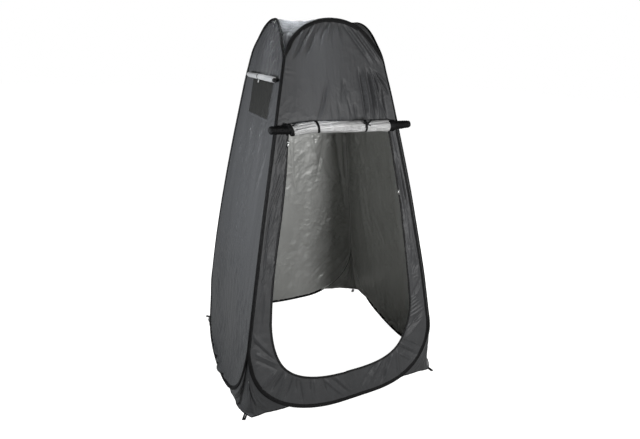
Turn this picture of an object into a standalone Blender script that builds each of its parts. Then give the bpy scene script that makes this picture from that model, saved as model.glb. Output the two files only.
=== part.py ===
"""Pop-up changing tent, metres, +Z up.

Four closed sprung-wire loops in cloth sleeves stand as the four walls of a tall pyramid. Each loop
lies in a flat plane that leans inwards, so one half outline, turned four times about Z, gives the
frame. Neighbouring loops run side by side along the four corner seams, part above the seams round
a lined roof, and part below them round the corner gussets, which reach the ground and carry the
webbing peg loops. A wall is drawn in its own plane: u across, v up the slope, n outwards.
The front stands at -Y, and the origin is on the ground in the middle.
"""

import math

import bmesh
import bpy
from mathutils import Matrix, Vector

# Overall shape
BASE_HALF = 0.583           # from the middle to a wall at the ground
LEAN = 0.188                # how far a wall moves inwards for each metre of height
TOP_Z = 1.8945              # middle of the wire sleeve at the peak of a loop
BOTTOM_Z = 0.0055           # middle of the wire sleeve where it lies on the ground
SEAM_TOP_Z = 1.715          # the corner seams run between these two heights
SEAM_BOTTOM_Z = 0.385
TOP_ARC_HANDLES = (0.03, 0.183)      # along the seam, and level at the peak
BOTTOM_ARC_HANDLES = (0.07, 0.539)   # along the seam, and level at the ground
ARC_STEPS = (20, 14)        # points on half a bottom arc and half a top arc
SEAM_STEPS = 3
SHARP_ANGLE = 40            # edges of rounded bodies stay sharp above this, in degrees
TUBE_BEVEL = 2              # steps added to each quarter of a tube's round section
NEAR = 1e-6                 # two coordinates closer than this are the same
WELD = 1e-5                 # points of a turned body closer than this are joined

# Cloth and sleeves
SLEEVE_RADIUS = 0.005
CLOTH = 0.002
GAP = 0.0003

# Door in the front wall
HEADER_HEM_Z = 1.412        # top of the doorway, behind the rolled door
DOOR_TOP_HALF = 0.262
DOOR_WIDE_HALF = 0.385
DOOR_WIDE_Z = 0.50
DOOR_BOTTOM_Z = 0.163
DOOR_ARC_HANDLES = ((0.405, 0.28), (0.33, 0.163))
DOOR_STEPS = 14
SILL_TOP_Z = 0.36           # height of the seams between the jambs and the sill
ZIP_RADIUS = 0.002
ZIP_DROP = 0.012            # the zip tape ends this far below the rolled door's axis
SLIDERS = {"left": (-1, 1.345), "right": (1, 1.085)}
SLIDER_HEAD = (0.009, 0.013)        # width and length
SLIDER_SHOULDER = 0.0072            # width of the head's upper end
SLIDER_PULL = (0.005, 0.024)
SLIDER_THICK = 0.004

# Rolled door and its straps
ROLL_RADIUS = 0.0275
ROLL_HALF = 0.255
ROLL_SIDES = 32
ROLL_END_RADIUS = 0.0225
ROLL_END_ROUNDING = 0.0135
ROLL_END_STEPS = 4
ROLL_END_REACH = {"left": 0.359, "right": 0.383}
COLLAR_LENGTH = 0.012
STRAP_WIDTH = 0.010
STRAP_THICK = 0.0016
STRAP_PLACES = {"left": -0.130, "right": 0.115}
STRAP_UNDER = 165           # degrees from the outward normal that it reaches below and behind
STRAP_STEPS = 22

# Windows in the side walls
WINDOW_HALF = 0.158
WINDOW_Z = (1.432, 1.600)
MESH_THICK = 0.0012
FLAP_RADIUS = 0.0135
FLAP_SIDES = 16
FLAP_Z = 1.615
FLAP_REACH = (-0.235, 0.222)    # along the wall, the second end towards the front
FLAP_TIP_REACH = 0.262
FLAP_TIP_RADII = (0.0115, 0.006)
FLAP_STRAP_PLACE = -0.035
FLAP_STRAP_WIDTH = 0.008
FLAP_STRAP_THICK = 0.0012
TOGGLE_RADIUS = 0.0032
TOGGLE_LENGTH = 0.015
TOGGLE_SIDES = 12

# Roof
ROOF_EDGE = (0.0056, 0.0080)    # from the sleeve's middle in to the cloth, at a peak and a corner

# Corner gussets and peg loops
CORNER_HALF = 0.545         # ground corner of a gusset, from the middle
CORNER_BLUNT = 0.030        # how much of each side of that corner is cut away
BLUNT_SHARE = 0.3           # of the blunt that is left at the middle of the cut
GUSSET_START = 3            # points down the bottom arc where a gusset begins
GUSSET_END_HALF = 0.34      # where its hem meets the wire
GUSSET_OFFSET = 0.0064
GUSSET_COLUMNS = 4
HEM_CLEARANCE = 0.0004
PEG_LOOP = (0.040, 0.018, 0.003)
PEG_SLOT = (0.020, 0.009)
PEG_SLOT_START = 0.0124     # webbing between the gusset and the slot
PEG_ROUNDING = (0.003, 0.0035)      # of the loop's corners and of the slot's
PEG_CORNER_STEPS = 4

COS_LEAN = math.cos(math.atan(LEAN))
PAIR_SHIFT = (2 * SLEEVE_RADIUS + 2 * GAP) / math.sqrt(2) / 2  # keeps paired sleeves apart
WALL_TURN = {"front": 0, "right": 90, "back": 180, "left": 270}
CORNER_TURN = {"front_right": 0, "back_right": 90, "back_left": 180, "front_left": 270}

MATERIALS = {
    "shell_cloth": ((0.105, 0.107, 0.112), 0.55, 0.0),
    "silver_lining": ((0.52, 0.54, 0.56), 0.35, 0.6),
    "sleeve_cloth": ((0.012, 0.012, 0.013), 0.6, 0.0),
    "window_net": ((0.03, 0.03, 0.028), 0.8, 0.0),
    "webbing": ((0.015, 0.015, 0.016), 0.7, 0.0),
    "zip_metal": ((0.7, 0.7, 0.7), 0.3, 1.0),
    "toggle_plastic": ((0.6, 0.6, 0.58), 0.5, 0.0),
}


def clear_scene():
    for ob in list(bpy.data.objects):
        bpy.data.objects.remove(ob, do_unlink=True)


def material(name):
    """The Principled material of this name, made on first use."""
    found = bpy.data.materials.get(name)
    if found:
        return found
    colour, roughness, metallic = MATERIALS[name]
    mat = bpy.data.materials.new(name)
    mat.use_nodes = True
    shader = mat.node_tree.nodes["Principled BSDF"]
    shader.inputs["Base Color"].default_value = (*colour, 1.0)
    shader.inputs["Roughness"].default_value = roughness
    shader.inputs["Metallic"].default_value = metallic
    return mat


def bezier(ends, steps):
    """Points of a cubic from its four controls, as (u, z) pairs."""
    a, b, c, d = (Vector(p) for p in ends)
    points = []
    for k in range(steps + 1):
        t = k / steps
        s = 1 - t
        points.append(tuple(a * s ** 3 + b * 3 * t * s * s + c * 3 * t * t * s + d * t ** 3))
    return points


def wall_at(z):
    """Distance of a wall from the middle at height z."""
    return BASE_HALF - LEAN * z


def half_loop():
    """Half outline of a loop as (u, z), from the middle of its foot to its peak."""
    down = Vector((LEAN, -1)).normalized()
    low = Vector((wall_at(SEAM_BOTTOM_Z) - PAIR_SHIFT, SEAM_BOTTOM_Z))
    high = Vector((wall_at(SEAM_TOP_Z) - PAIR_SHIFT, SEAM_TOP_Z))
    foot = Vector((0, BOTTOM_Z))
    peak = Vector((0, TOP_Z))
    level = Vector((1, 0))
    bottom = bezier((foot, foot + level * BOTTOM_ARC_HANDLES[1], low + down * BOTTOM_ARC_HANDLES[0], low),
                    ARC_STEPS[0])
    seam = [tuple(low.lerp(high, k / SEAM_STEPS)) for k in range(1, SEAM_STEPS)]
    top = bezier((high, high - down * TOP_ARC_HANDLES[0], peak + level * TOP_ARC_HANDLES[1], peak),
                 ARC_STEPS[1])
    return bottom + seam + top


def to_plane(points):
    """Heights turned into distances up the slope of a wall."""
    return [(u, z / COS_LEAN) for u, z in points]


def offset(points, distance):
    """The half outline moved sideways by a distance, mitred, and square at both ends."""
    moved = []
    for i, (u, v) in enumerate(points):
        before = points[i - 1] if i else (-points[1][0], points[1][1])
        after = points[i + 1] if i < len(points) - 1 else (-points[-2][0], points[-2][1])
        first = Vector((u - before[0], v - before[1])).normalized()
        second = Vector((after[0] - u, after[1] - v)).normalized()
        out = Vector((first.y + second.y, -first.x - second.x)).normalized()
        reach = distance / out.dot(Vector((first.y, -first.x)))
        moved.append((u + out.x * reach, v + out.y * reach))
    return moved


def cut(points, low, high):
    """The stretch of a rising half outline between two distances up the slope."""
    kept = []
    for (u0, v0), (u1, v1) in zip(points, points[1:]):
        for level in (low, high):
            if v0 < level < v1:
                kept.append((u0 + (u1 - u0) * (level - v0) / (v1 - v0), level))
        if low <= v1 <= high:
            kept.append((u1, v1))
    if low <= points[0][1] <= high:
        kept.insert(0, points[0])
    return kept


def mirrored(points):
    """The same half outline on the other side, in reverse order, without the middle points."""
    return [(-u, v) for u, v in reversed(points) if u > NEAR]


def wall_matrix(wall):
    """Turns a wall's u, n, v coordinates into the tent's own."""
    turn = Matrix.Rotation(math.radians(WALL_TURN[wall]), 4, "Z")
    place = Matrix.Translation((0, -(BASE_HALF + PAIR_SHIFT), 0))
    return turn @ place @ Matrix.Rotation(-math.atan(LEAN), 4, "X")


def add(name, data, mat, matrix):
    """An object in the scene with this mesh or curve, material and place."""
    data.materials.append(material(mat))
    ob = bpy.data.objects.new(name, data)
    ob.matrix_world = matrix
    bpy.context.scene.collection.objects.link(ob)
    return ob


def add_bmesh(name, bm, mat, matrix, smooth=False):
    """An object made from a bmesh, with its faces turned outwards."""
    bmesh.ops.recalc_face_normals(bm, faces=bm.faces)
    mesh = bpy.data.meshes.new(name)
    bm.to_mesh(mesh)
    bm.free()
    if smooth:
        mesh.shade_smooth()
        mesh.set_sharp_from_angle(angle=math.radians(SHARP_ANGLE))
    return add(name, mesh, mat, matrix)


def plate(rings, growth):
    """A flat solid between closed rings of points, the first one outside, grown by a vector."""
    bm = bmesh.new()
    edges = []
    for ring in rings:
        verts = [bm.verts.new(p) for p in ring]
        edges += [bm.edges.new((a, b)) for a, b in zip(verts, verts[1:] + verts[:1])]
    bmesh.ops.triangle_fill(bm, use_beauty=True, edges=edges)
    grown = bmesh.ops.extrude_face_region(bm, geom=bm.faces[:])["geom"]
    moved = [v for v in grown if isinstance(v, bmesh.types.BMVert)]
    bmesh.ops.translate(bm, verts=moved, vec=growth)
    return bm


def sheet(name, wall, outline, mat, thick=CLOTH, hole=None, middle=0.0):
    """A flat piece in a wall's plane, with one hole at most; middle is its distance outwards."""
    rings = [[(u, -middle - thick / 2, v) for u, v in ring] for ring in (outline, hole) if ring]
    return add_bmesh(name, plate(rings, (0, thick, 0)), mat, wall_matrix(wall))


def tube(name, wall, points, radius, mat, closed):
    """A round tube along points in a wall's plane."""
    curve = bpy.data.curves.new(name, "CURVE")
    curve.dimensions = "3D"
    curve.bevel_depth = radius
    curve.bevel_resolution = TUBE_BEVEL
    curve.use_fill_caps = not closed
    spline = curve.splines.new("POLY")
    spline.points.add(len(points) - 1)
    for point, (u, v) in zip(spline.points, points):
        point.co = (u, 0, v, 1)
    spline.use_cyclic_u = closed
    return add(name, curve, mat, wall_matrix(wall))


def turned(name, wall, profile, axis_n, axis_v, mat, sides):
    """A body turned about a level axis in front of a wall, from (u, radius) pairs."""
    bm = bmesh.new()
    verts = [bm.verts.new((u, -axis_n - r, axis_v)) for u, r in profile]
    edges = [bm.edges.new((a, b)) for a, b in zip(verts, verts[1:])]
    bmesh.ops.spin(bm, geom=verts + edges, cent=(0, -axis_n, axis_v), axis=(1, 0, 0),
                   angle=math.tau, steps=sides, use_merge=True, use_duplicate=False)
    bmesh.ops.remove_doubles(bm, verts=bm.verts, dist=WELD)
    return add_bmesh(name, bm, mat, wall_matrix(wall), smooth=True)


def strap(name, wall, place, width, thick, roll_radius, axis_n, axis_v, under=None):
    """A flat strap bent round the front of a roll, from the cloth above it to the cloth below."""
    bm = bmesh.new()
    rows = []
    up = math.acos(-roll_radius / (roll_radius + GAP + thick))
    down = -(math.radians(under) if under else up)
    for k in range(STRAP_STEPS + 1):
        angle = up + (down - up) * k / STRAP_STEPS
        row = []
        for side, reach in ((-1, 0), (1, 0), (1, thick), (-1, thick)):
            r = roll_radius + GAP + reach
            row.append(bm.verts.new((place + side * width / 2, -axis_n - r * math.cos(angle),
                                     axis_v + r * math.sin(angle))))
        rows.append(row)
    for a, b in zip(rows, rows[1:]):
        for i in range(len(a)):
            j = (i + 1) % len(a)
            bm.faces.new((a[i], a[j], b[j], b[i]))
    bm.faces.new(rows[0])
    bm.faces.new(rows[-1])
    return add_bmesh(name, bm, "webbing", wall_matrix(wall), smooth=True)


def frame_loops(loop):
    """The four closed wires in their sleeves, from the half outline in a wall's plane."""
    for wall in WALL_TURN:
        ring = loop + mirrored(loop)
        tube(f"{wall}_frame_loop", wall, ring, SLEEVE_RADIUS, "sleeve_cloth", closed=True)


def door_edge():
    """Half outline of the doorway as (u, z), from the middle of the sill up the jamb."""
    arc = bezier(((0, DOOR_BOTTOM_Z), DOOR_ARC_HANDLES[1], DOOR_ARC_HANDLES[0],
                  (DOOR_WIDE_HALF, DOOR_WIDE_Z)), DOOR_STEPS)
    return arc + [(DOOR_TOP_HALF, HEADER_HEM_Z)]


def front_wall(cloth_edge):
    """Header, jambs and sill round the open doorway, with the door's zip and its two sliders."""
    hem = HEADER_HEM_Z / COS_LEAN
    sill = SILL_TOP_Z / COS_LEAN
    door = to_plane(door_edge())
    header = cut(cloth_edge, hem, TOP_Z)
    sheet("front_header_panel", "front", header + mirrored(header), "shell_cloth")
    outer = cut(cloth_edge, sill + GAP, hem - GAP)
    inner = cut(door, sill + GAP, hem - GAP)
    jamb = outer + inner[::-1]
    sheet("front_right_jamb", "front", jamb, "shell_cloth")
    sheet("front_left_jamb", "front", [(-u, v) for u, v in jamb], "shell_cloth")
    outer = cut(cloth_edge, 0, sill)
    inner = cut(door, 0, sill)
    lower = mirrored(outer) + outer + inner[::-1] + mirrored(inner)[::-1]
    sheet("front_sill_panel", "front", lower, "shell_cloth")
    tape = offset(door, -(ZIP_RADIUS + GAP))
    tape = cut(tape, 0, hem - ZIP_DROP)
    tube("front_door_zip", "front", mirrored(tape) + tape, ZIP_RADIUS, "sleeve_cloth", closed=False)
    for side, (sign, z) in SLIDERS.items():
        zip_slider(f"zip_slider_{side}", sign, z / COS_LEAN, tape)


def zip_slider(name, sign, v, tape):
    """A slider's head on the zip with its pull hanging below, as one flat piece."""
    u = sign * cut(tape, v, tape[-1][1])[0][0]
    head, drop = SLIDER_HEAD[0] / 2, SLIDER_HEAD[1]
    shoulder, pull = SLIDER_SHOULDER / 2, SLIDER_PULL[0] / 2
    outline = [(head, 0), (shoulder, drop / 2), (-shoulder, drop / 2), (-head, 0), (-pull, -drop / 2),
               (-pull, -SLIDER_PULL[1]), (pull, -SLIDER_PULL[1]), (pull, -drop / 2)]
    sheet(name, "front", [(u + a, v + b) for a, b in outline], "zip_metal", SLIDER_THICK,
          middle=ZIP_RADIUS + GAP + SLIDER_THICK / 2)


def rolled_door():
    """The door rolled up under the header, with its stepped black ends and the two straps round it."""
    axis_v = HEADER_HEM_Z / COS_LEAN
    axis_n = CLOTH / 2 + GAP + ROLL_RADIUS
    bar = [(-ROLL_HALF, 0), (-ROLL_HALF, ROLL_RADIUS), (ROLL_HALF, ROLL_RADIUS), (ROLL_HALF, 0)]
    turned("door_roll", "front", bar, axis_n, axis_v, "silver_lining", ROLL_SIDES)
    for side, sign in (("left", -1), ("right", 1)):
        start = ROLL_HALF + GAP
        shoulder = start + COLLAR_LENGTH
        tip = ROLL_END_REACH[side]
        round_u, round_r = tip - ROLL_END_ROUNDING, ROLL_END_RADIUS - ROLL_END_ROUNDING
        bar = [(start, 0), (start, ROLL_RADIUS), (shoulder, ROLL_RADIUS), (shoulder, ROLL_END_RADIUS)]
        for k in range(ROLL_END_STEPS + 1):
            a = k / ROLL_END_STEPS * math.pi / 2
            bar.append((round_u + ROLL_END_ROUNDING * math.sin(a), round_r + ROLL_END_ROUNDING * math.cos(a)))
        bar.append((tip, 0))
        turned(f"door_roll_{side}_end", "front", [(sign * u, r) for u, r in bar], axis_n, axis_v,
               "sleeve_cloth", ROLL_SIDES)
        strap(f"door_strap_{side}", "front", STRAP_PLACES[side], STRAP_WIDTH, STRAP_THICK, ROLL_RADIUS,
              axis_n, axis_v, STRAP_UNDER)


def side_wall(wall, cloth_edge, forward):
    """A side panel with its net window and rolled flap; forward is the u direction of the front."""
    bottom, top = (z / COS_LEAN for z in WINDOW_Z)
    hole = [(-WINDOW_HALF, bottom), (WINDOW_HALF, bottom), (WINDOW_HALF, top), (-WINDOW_HALF, top)]
    sheet(f"{wall}_panel", wall, cloth_edge + mirrored(cloth_edge), "shell_cloth", hole=hole)
    half = WINDOW_HALF - GAP
    net = [(-half, bottom + GAP), (half, bottom + GAP), (half, top - GAP), (-half, top - GAP)]
    sheet(f"{wall}_window_net", wall, net, "window_net", MESH_THICK)
    axis_n = CLOTH / 2 + GAP + FLAP_RADIUS
    axis_v = FLAP_Z / COS_LEAN
    start, end = FLAP_REACH
    bar = [(start, 0), (start, FLAP_RADIUS), (end, FLAP_RADIUS), (end, 0)]
    turned(f"{wall}_window_flap", wall, [(forward * u, r) for u, r in bar], axis_n, axis_v,
           "silver_lining", FLAP_SIDES)
    end += GAP
    bar = [(end, 0), (end, FLAP_TIP_RADII[0]), (FLAP_TIP_REACH, FLAP_TIP_RADII[1]), (FLAP_TIP_REACH, 0)]
    turned(f"{wall}_window_flap_end", wall, [(forward * u, r) for u, r in bar], axis_n, axis_v,
           "sleeve_cloth", FLAP_SIDES)
    place = forward * FLAP_STRAP_PLACE
    strap(f"{wall}_window_strap", wall, place, FLAP_STRAP_WIDTH, FLAP_STRAP_THICK, FLAP_RADIUS,
          axis_n, axis_v)
    toggle_top = axis_v - FLAP_RADIUS - FLAP_STRAP_THICK - 2 * GAP
    bm = bmesh.new()
    bmesh.ops.create_cone(bm, cap_ends=True, segments=TOGGLE_SIDES, radius1=TOGGLE_RADIUS,
                          radius2=TOGGLE_RADIUS, depth=TOGGLE_LENGTH,
                          matrix=Matrix.Translation((place, -axis_n, toggle_top - TOGGLE_LENGTH / 2)))
    add_bmesh(f"{wall}_window_toggle", bm, "toggle_plastic", wall_matrix(wall), smooth=True)


def grid_sheet(name, rows, mat, matrix, thick=CLOTH):
    """Cloth given thickness on both sides of a grid of points."""
    bm = bmesh.new()
    grid = [[bm.verts.new(p) for p in row] for row in rows]
    for a, b in zip(grid, grid[1:]):
        for i in range(len(a) - 1):
            bm.faces.new((a[i], a[i + 1], b[i + 1], b[i]))
    ob = add_bmesh(name, bm, mat, matrix, smooth=True)
    solid = ob.modifiers.new("thickness", "SOLIDIFY")
    solid.thickness = thick
    solid.offset = 0.0
    solid.use_even_offset = True
    return ob


def roof(loop):
    """Lining between the four top arcs, level in the middle and drawn down to the seams."""
    arc = [(u, z) for u, z in loop if z >= SEAM_TOP_Z - NEAR]
    arc += [(-u, z) for u, z in reversed(arc[:-1])]
    edge = arc[0][0]
    lift = [(z - SEAM_TOP_Z) / (TOP_Z - SEAM_TOP_Z) for u, z in arc]
    inner = [wall_at(z) + PAIR_SHIFT - ROOF_EDGE[1] + (ROOF_EDGE[1] - ROOF_EDGE[0]) * a
             for (u, z), a in zip(arc, lift)]
    rows = []
    for j, (uj, zj) in enumerate(arc):
        row = []
        for i, (ui, zi) in enumerate(arc):
            z = SEAM_TOP_Z + (TOP_Z - SEAM_TOP_Z) * (1 - (1 - lift[i]) * (1 - lift[j]))
            row.append((ui / edge * inner[j], uj / edge * inner[i], z))
        rows.append(row)
    grid_sheet("roof_panel", rows, "silver_lining", Matrix.Identity(4))


def gusset(name, turn, outside):
    """Cloth from the two bottom arcs of a corner down to a blunt tip on the ground."""
    arc = [p for p in outside if p[0] >= GUSSET_END_HALF and p[1] * COS_LEAN < SEAM_BOTTOM_Z]
    arc = arc[::-1][GUSSET_START:]
    place = wall_matrix("front")
    first, last = (p[1] for p in (arc[0], arc[-1]))
    ground = HEM_CLEARANCE + CLOTH / 2
    rows = []
    for u, v in arc:
        drop = (first - v) / (first - last)
        start = place @ Vector((u, 0, v))
        gap = -(start.x + start.y) / 2
        middle = (start.x - start.y) / 2
        z = start.z + (ground - start.z) * drop
        reach = middle + (CORNER_HALF - middle) * drop
        blunt = CORNER_BLUNT * drop + gap * BLUNT_SHARE * (1 - drop)
        round_off = blunt * BLUNT_SHARE
        tip = [Vector((reach - blunt, -reach, z)), Vector((reach - round_off, -reach + round_off, z)),
               Vector((reach, -reach + blunt, z))]
        front = [start.lerp(tip[0], k / GUSSET_COLUMNS) for k in range(GUSSET_COLUMNS)]
        side = [Vector((-p.y, -p.x, p.z)) for p in reversed(front)]
        rows.append(front + tip + side)
    grid_sheet(name, rows, "shell_cloth", Matrix.Rotation(math.radians(turn), 4, "Z"))


def rounded_box(length, width, start, radius):
    """A rounded rectangle from start along its length, as points on the ground."""
    points = []
    for cx, cy, first in ((1, 1, 0), (0, 1, 90), (0, -1, 180), (1, -1, 270)):
        x = start + (length - radius if cx else radius)
        y = cy * (width / 2 - radius)
        for k in range(PEG_CORNER_STEPS + 1):
            a = math.radians(first + 90 * k / PEG_CORNER_STEPS)
            points.append((x + radius * math.cos(a), y + radius * math.sin(a), 0))
    return points


def peg_loop(name, turn):
    """A webbing loop lying on the ground from the tip of a gusset, with a slot for the peg."""
    length, width, thick = PEG_LOOP
    outer = rounded_box(length, width, 0, PEG_ROUNDING[0])
    slot = rounded_box(*PEG_SLOT, PEG_SLOT_START, PEG_ROUNDING[1])
    tip = (CORNER_HALF - CORNER_BLUNT * BLUNT_SHARE) * math.sqrt(2)
    out = Matrix.Rotation(math.radians(turn - 45), 4, "Z")
    place = out @ Matrix.Translation((tip + CLOTH / 2 + 2 * GAP, 0, 0))
    add_bmesh(name, plate((outer, slot), (0, 0, thick)), "webbing", place)


def build():
    """The whole tent, from the outline that its four loops share."""
    clear_scene()
    loop = half_loop()
    plane = to_plane(loop)
    cloth_edge = offset(plane, -(SLEEVE_RADIUS + GAP))
    frame_loops(plane)
    front_wall(cloth_edge)
    rolled_door()
    side_wall("left", cloth_edge, 1)
    side_wall("right", cloth_edge, -1)
    sheet("back_panel", "back", cloth_edge + mirrored(cloth_edge), "shell_cloth")
    roof(loop)
    outside = offset(plane, GUSSET_OFFSET)
    for corner, turn in CORNER_TURN.items():
        gusset(f"{corner}_gusset", turn, outside)
        peg_loop(f"{corner}_peg_loop", turn)


build()
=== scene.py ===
import math

import bpy
import numpy as np
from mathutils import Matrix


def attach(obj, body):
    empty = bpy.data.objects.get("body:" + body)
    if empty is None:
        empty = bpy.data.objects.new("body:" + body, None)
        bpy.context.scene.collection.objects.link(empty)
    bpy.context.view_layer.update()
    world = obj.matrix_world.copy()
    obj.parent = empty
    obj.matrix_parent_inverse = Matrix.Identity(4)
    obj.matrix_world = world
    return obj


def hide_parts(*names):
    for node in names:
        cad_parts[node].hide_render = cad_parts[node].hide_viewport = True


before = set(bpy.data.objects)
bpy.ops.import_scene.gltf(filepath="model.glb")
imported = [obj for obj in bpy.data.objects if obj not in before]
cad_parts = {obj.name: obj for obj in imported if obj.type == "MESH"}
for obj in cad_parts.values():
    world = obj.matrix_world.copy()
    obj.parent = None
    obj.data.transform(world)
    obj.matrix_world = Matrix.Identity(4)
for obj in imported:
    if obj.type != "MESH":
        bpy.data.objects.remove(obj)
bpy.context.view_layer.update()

# Frame loops. Four closed rings of spring wire, each in a black polyester sleeve that is folded over
# the edge of its wall and sewn through both sides; they stand as four walls leaning inwards.
BASE_HALF = 0.583           # from the tent's middle to a wall, at the ground
LEAN = 0.188                # how far a wall moves in for each metre of height
PAIR_SHIFT = 0.00375        # keeps the two sleeves of a corner side by side
COS_LEAN = math.cos(math.atan(LEAN))
SIN_LEAN = math.sin(math.atan(LEAN))
WALLS = {"front": (1, 0), "right": (0, 1), "back": (-1, 0), "left": (0, -1)}    # cosine and sine of each turn
TOP_Z = 1.8945
BOTTOM_Z = 0.0055
SEAM_TOP_Z = 1.715
SEAM_BOTTOM_Z = 0.385
BEAD_RADIUS = (0.0030, 0.0053)       # of the sleeve over the wire, on the seams and on the arcs
BINDING_THICK = (0.0026, 0.0024)
ARC_REACH = 0.0142                   # from the wire in to the binding's sewn edge, on the arcs
# the left wall's binding at its back seam is drawn much wider than at the other seams: black cloth laid over
# the wall as painted shade for the shadowed band of cloth beside that seam
SEAM_REACH = {"front": (0.0070, 0.0190), "right": (0.0140, 0.0140), "back": (0.0140, 0.0140),
              "left": (0.0300, 0.0035)}          # and on the seams at a wall's two sides
NARROW_REACH = 0.0040                # and beside the header
PAIR_PULL = 0.0017                   # how far the two beads of a seam are drawn to each other
RING_POINTS = 680
RING_STEP = 0.0078                   # between two of them


def ramp(x, width=1.0):
    """0 up to nothing, 1 from the width on and a straight slope between."""
    return np.clip(x / width, 0, 1)


def eased(share):
    """A share of 0 to 1 with a soft start and end: three times its square less twice its cube."""
    return share * share * (3 - 2 * share)


def unit(vectors, least=0.0):
    """Vectors divided by their lengths; least is added to a length that may be nothing."""
    return vectors / (np.linalg.norm(vectors, axis=-1, keepdims=True) + least)


def tangents(path):
    """Unit vectors along an open path: the differences between its neighbours."""
    return unit(np.gradient(path, axis=0))


def walked(path):
    """Distance walked from a path's first point to each of its points."""
    return np.concatenate([[0], np.cumsum(np.linalg.norm(np.diff(path, axis=0), axis=1))])


def evenly(path, count):
    """count points at equal distances along a path."""
    reach = walked(path)
    return np.stack([np.interp(np.linspace(0, reach[-1], count), reach, column) for column in path.T], -1)


def across(path, closed=False):
    """Unit vectors square to a flat path, on its left-hand side: its tangents turned a quarter."""
    run = unit(np.roll(path, -1, 0) - np.roll(path, 1, 0)) if closed else tangents(path)
    return np.stack([-run[:, 1], run[:, 0]], -1)


def bezier(a, b, c, d, t):
    """Points of the cubic with these four controls: each control times its Bernstein weight."""
    t = t[:, None]
    s = 1 - t
    return a * s ** 3 + 3 * b * t * s * s + 3 * c * t * t * s + d * t ** 3


def on_wall(wall, u, v, n):
    """Points in the tent's frame from a wall's own: u across, v up its slope and n outwards. The
    wall is stood on the ground, leaned in by the lean angle and turned about Z."""
    cos, sin = WALLS[wall]
    u, y, z = np.broadcast_arrays(u, v * SIN_LEAN - n * COS_LEAN - BASE_HALF - PAIR_SHIFT,
                                  v * COS_LEAN + n * SIN_LEAN)
    return np.stack([u * cos - y * sin, u * sin + y * cos, z], -1)


def half_loop():
    """The right half of a loop in (u, v), from the middle of its foot to its peak: a cubic arc, the
    straight corner seam and another cubic arc."""
    down = np.array([LEAN, -1]) / math.hypot(LEAN, 1)
    low, high = (np.array([BASE_HALF - LEAN * z - PAIR_SHIFT, z]) for z in (SEAM_BOTTOM_Z, SEAM_TOP_Z))
    foot, peak = np.array([0, BOTTOM_Z]), np.array([0, TOP_Z])
    t = np.linspace(0, 1, 120)
    bottom = bezier(foot, foot + np.array([0.539, 0]), low + down * 0.07, low, t)
    top = bezier(high, high - down * 0.03, peak + np.array([0.183, 0]), peak, t)
    seam = low + (high - low) * t[1:-1, None]
    return np.concatenate([bottom, seam, top]) / [1, COS_LEAN]


def mirror_join(half):
    """A whole ring from its right half: up the right side and back down the left, to its start."""
    return np.concatenate([half, half[-2:0:-1] * [-1, 1], half[:1]])


def on_arcs(height):
    """0 along the straight corner seams and 1 on a loop's two arcs, rising softly between them."""
    return ramp(height - SEAM_TOP_Z, 0.05) + ramp(SEAM_BOTTOM_Z - height, 0.08)


def seam_reach(wall, u, height):
    """How far in from the wire the binding reaches on the straight seams: by the wall's side, narrow
    beside the header and, where it is wide on the left wall, narrowing to half towards the ground. That
    wide black binding is painted shade, standing for the shadowed cloth beside the left wall's back seam."""
    reach = np.where(u < 0, *SEAM_REACH[wall])
    if wall == "front":
        reach = NARROW_REACH + (reach - NARROW_REACH) * ramp(1.44 - height, 0.06)
    if wall == "left":
        reach = reach * np.where(u < 0, np.clip(0.5 + (height - 0.5) / 1.2, 0.5, 1), 1)
    return reach


def swell(x, y, seed, waves=26):
    """A smooth random field of about -1 to 1, whose lumps are about one unit of x and of y across:
    a sum of plane waves in random directions and phases."""
    rng = np.random.default_rng(seed)
    kx, ky, phase = rng.normal(0, 2.2, waves), rng.normal(0, 2.2, waves), rng.uniform(0, math.tau, waves)
    field = np.zeros(np.broadcast(x, y).shape)
    for a, b, c in zip(kx, ky, phase):
        field += np.cos(a * x + b * y + c)
    return field / math.sqrt(waves / 2) * 0.6


STAND_HEIGHTS = (0.0, 0.05, 0.12, 0.20, 0.30, 0.41, 0.64, 0.86, 1.07, 1.26, 1.58, 1.68, 1.75, 1.90)
STAND_SHIFTS = {             # how far each corner stands out along its diagonal at those heights, in mm
    (-1, 1): (-14, -32, -44, -46, -33, -20, 1, 13, 20, 23, 23, 18, 13, 4),
    (1, -1): (0, -2, -5, -7, -3, 3, 16, 18, 19, 15, 3, -7, -9, 0),
    (-1, -1): (0, 0, 0, 1, 2, 4, 8, 10, 9, 4, 0, -2, -3, 0),
    (1, 1): (0, 0, 0, 0, 1, 3, 8, 10, 10, 8, 0, -4, -6, 0),
}
TOP_DRIFT = (-0.0045, -0.0085, -0.0115)      # how far the top stands aside: all of it, more at the front arc,
                                             # and for the side arcs by how far out they are
LEFT_SAG = 0.007             # how much lower the left arc stands
FOOT_BOWS = (                # a bowed foot's axis and side, the bow's middle and half width, its x, y and z
    (1, -1, 0.08, 0.17, (0, 0.010, 0.0065)),
    (1, 1, 0.27, 0.12, (0, -0.020, 0)),
    (0, 1, 0.32, 0.14, (-0.009, 0, 0)),
)


def evened(z, places, values):
    """Values between places, evened out over a hand's width."""
    heights = np.linspace(-0.2, 2.1, 231)
    spread = np.exp(-(np.linspace(-0.2, 0.2, 41) / 0.07) ** 2)
    even = np.convolve(np.pad(np.interp(heights, places, values), 20, mode="edge"), spread / spread.sum(),
                       mode="valid")
    return np.interp(z, heights, even)


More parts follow.
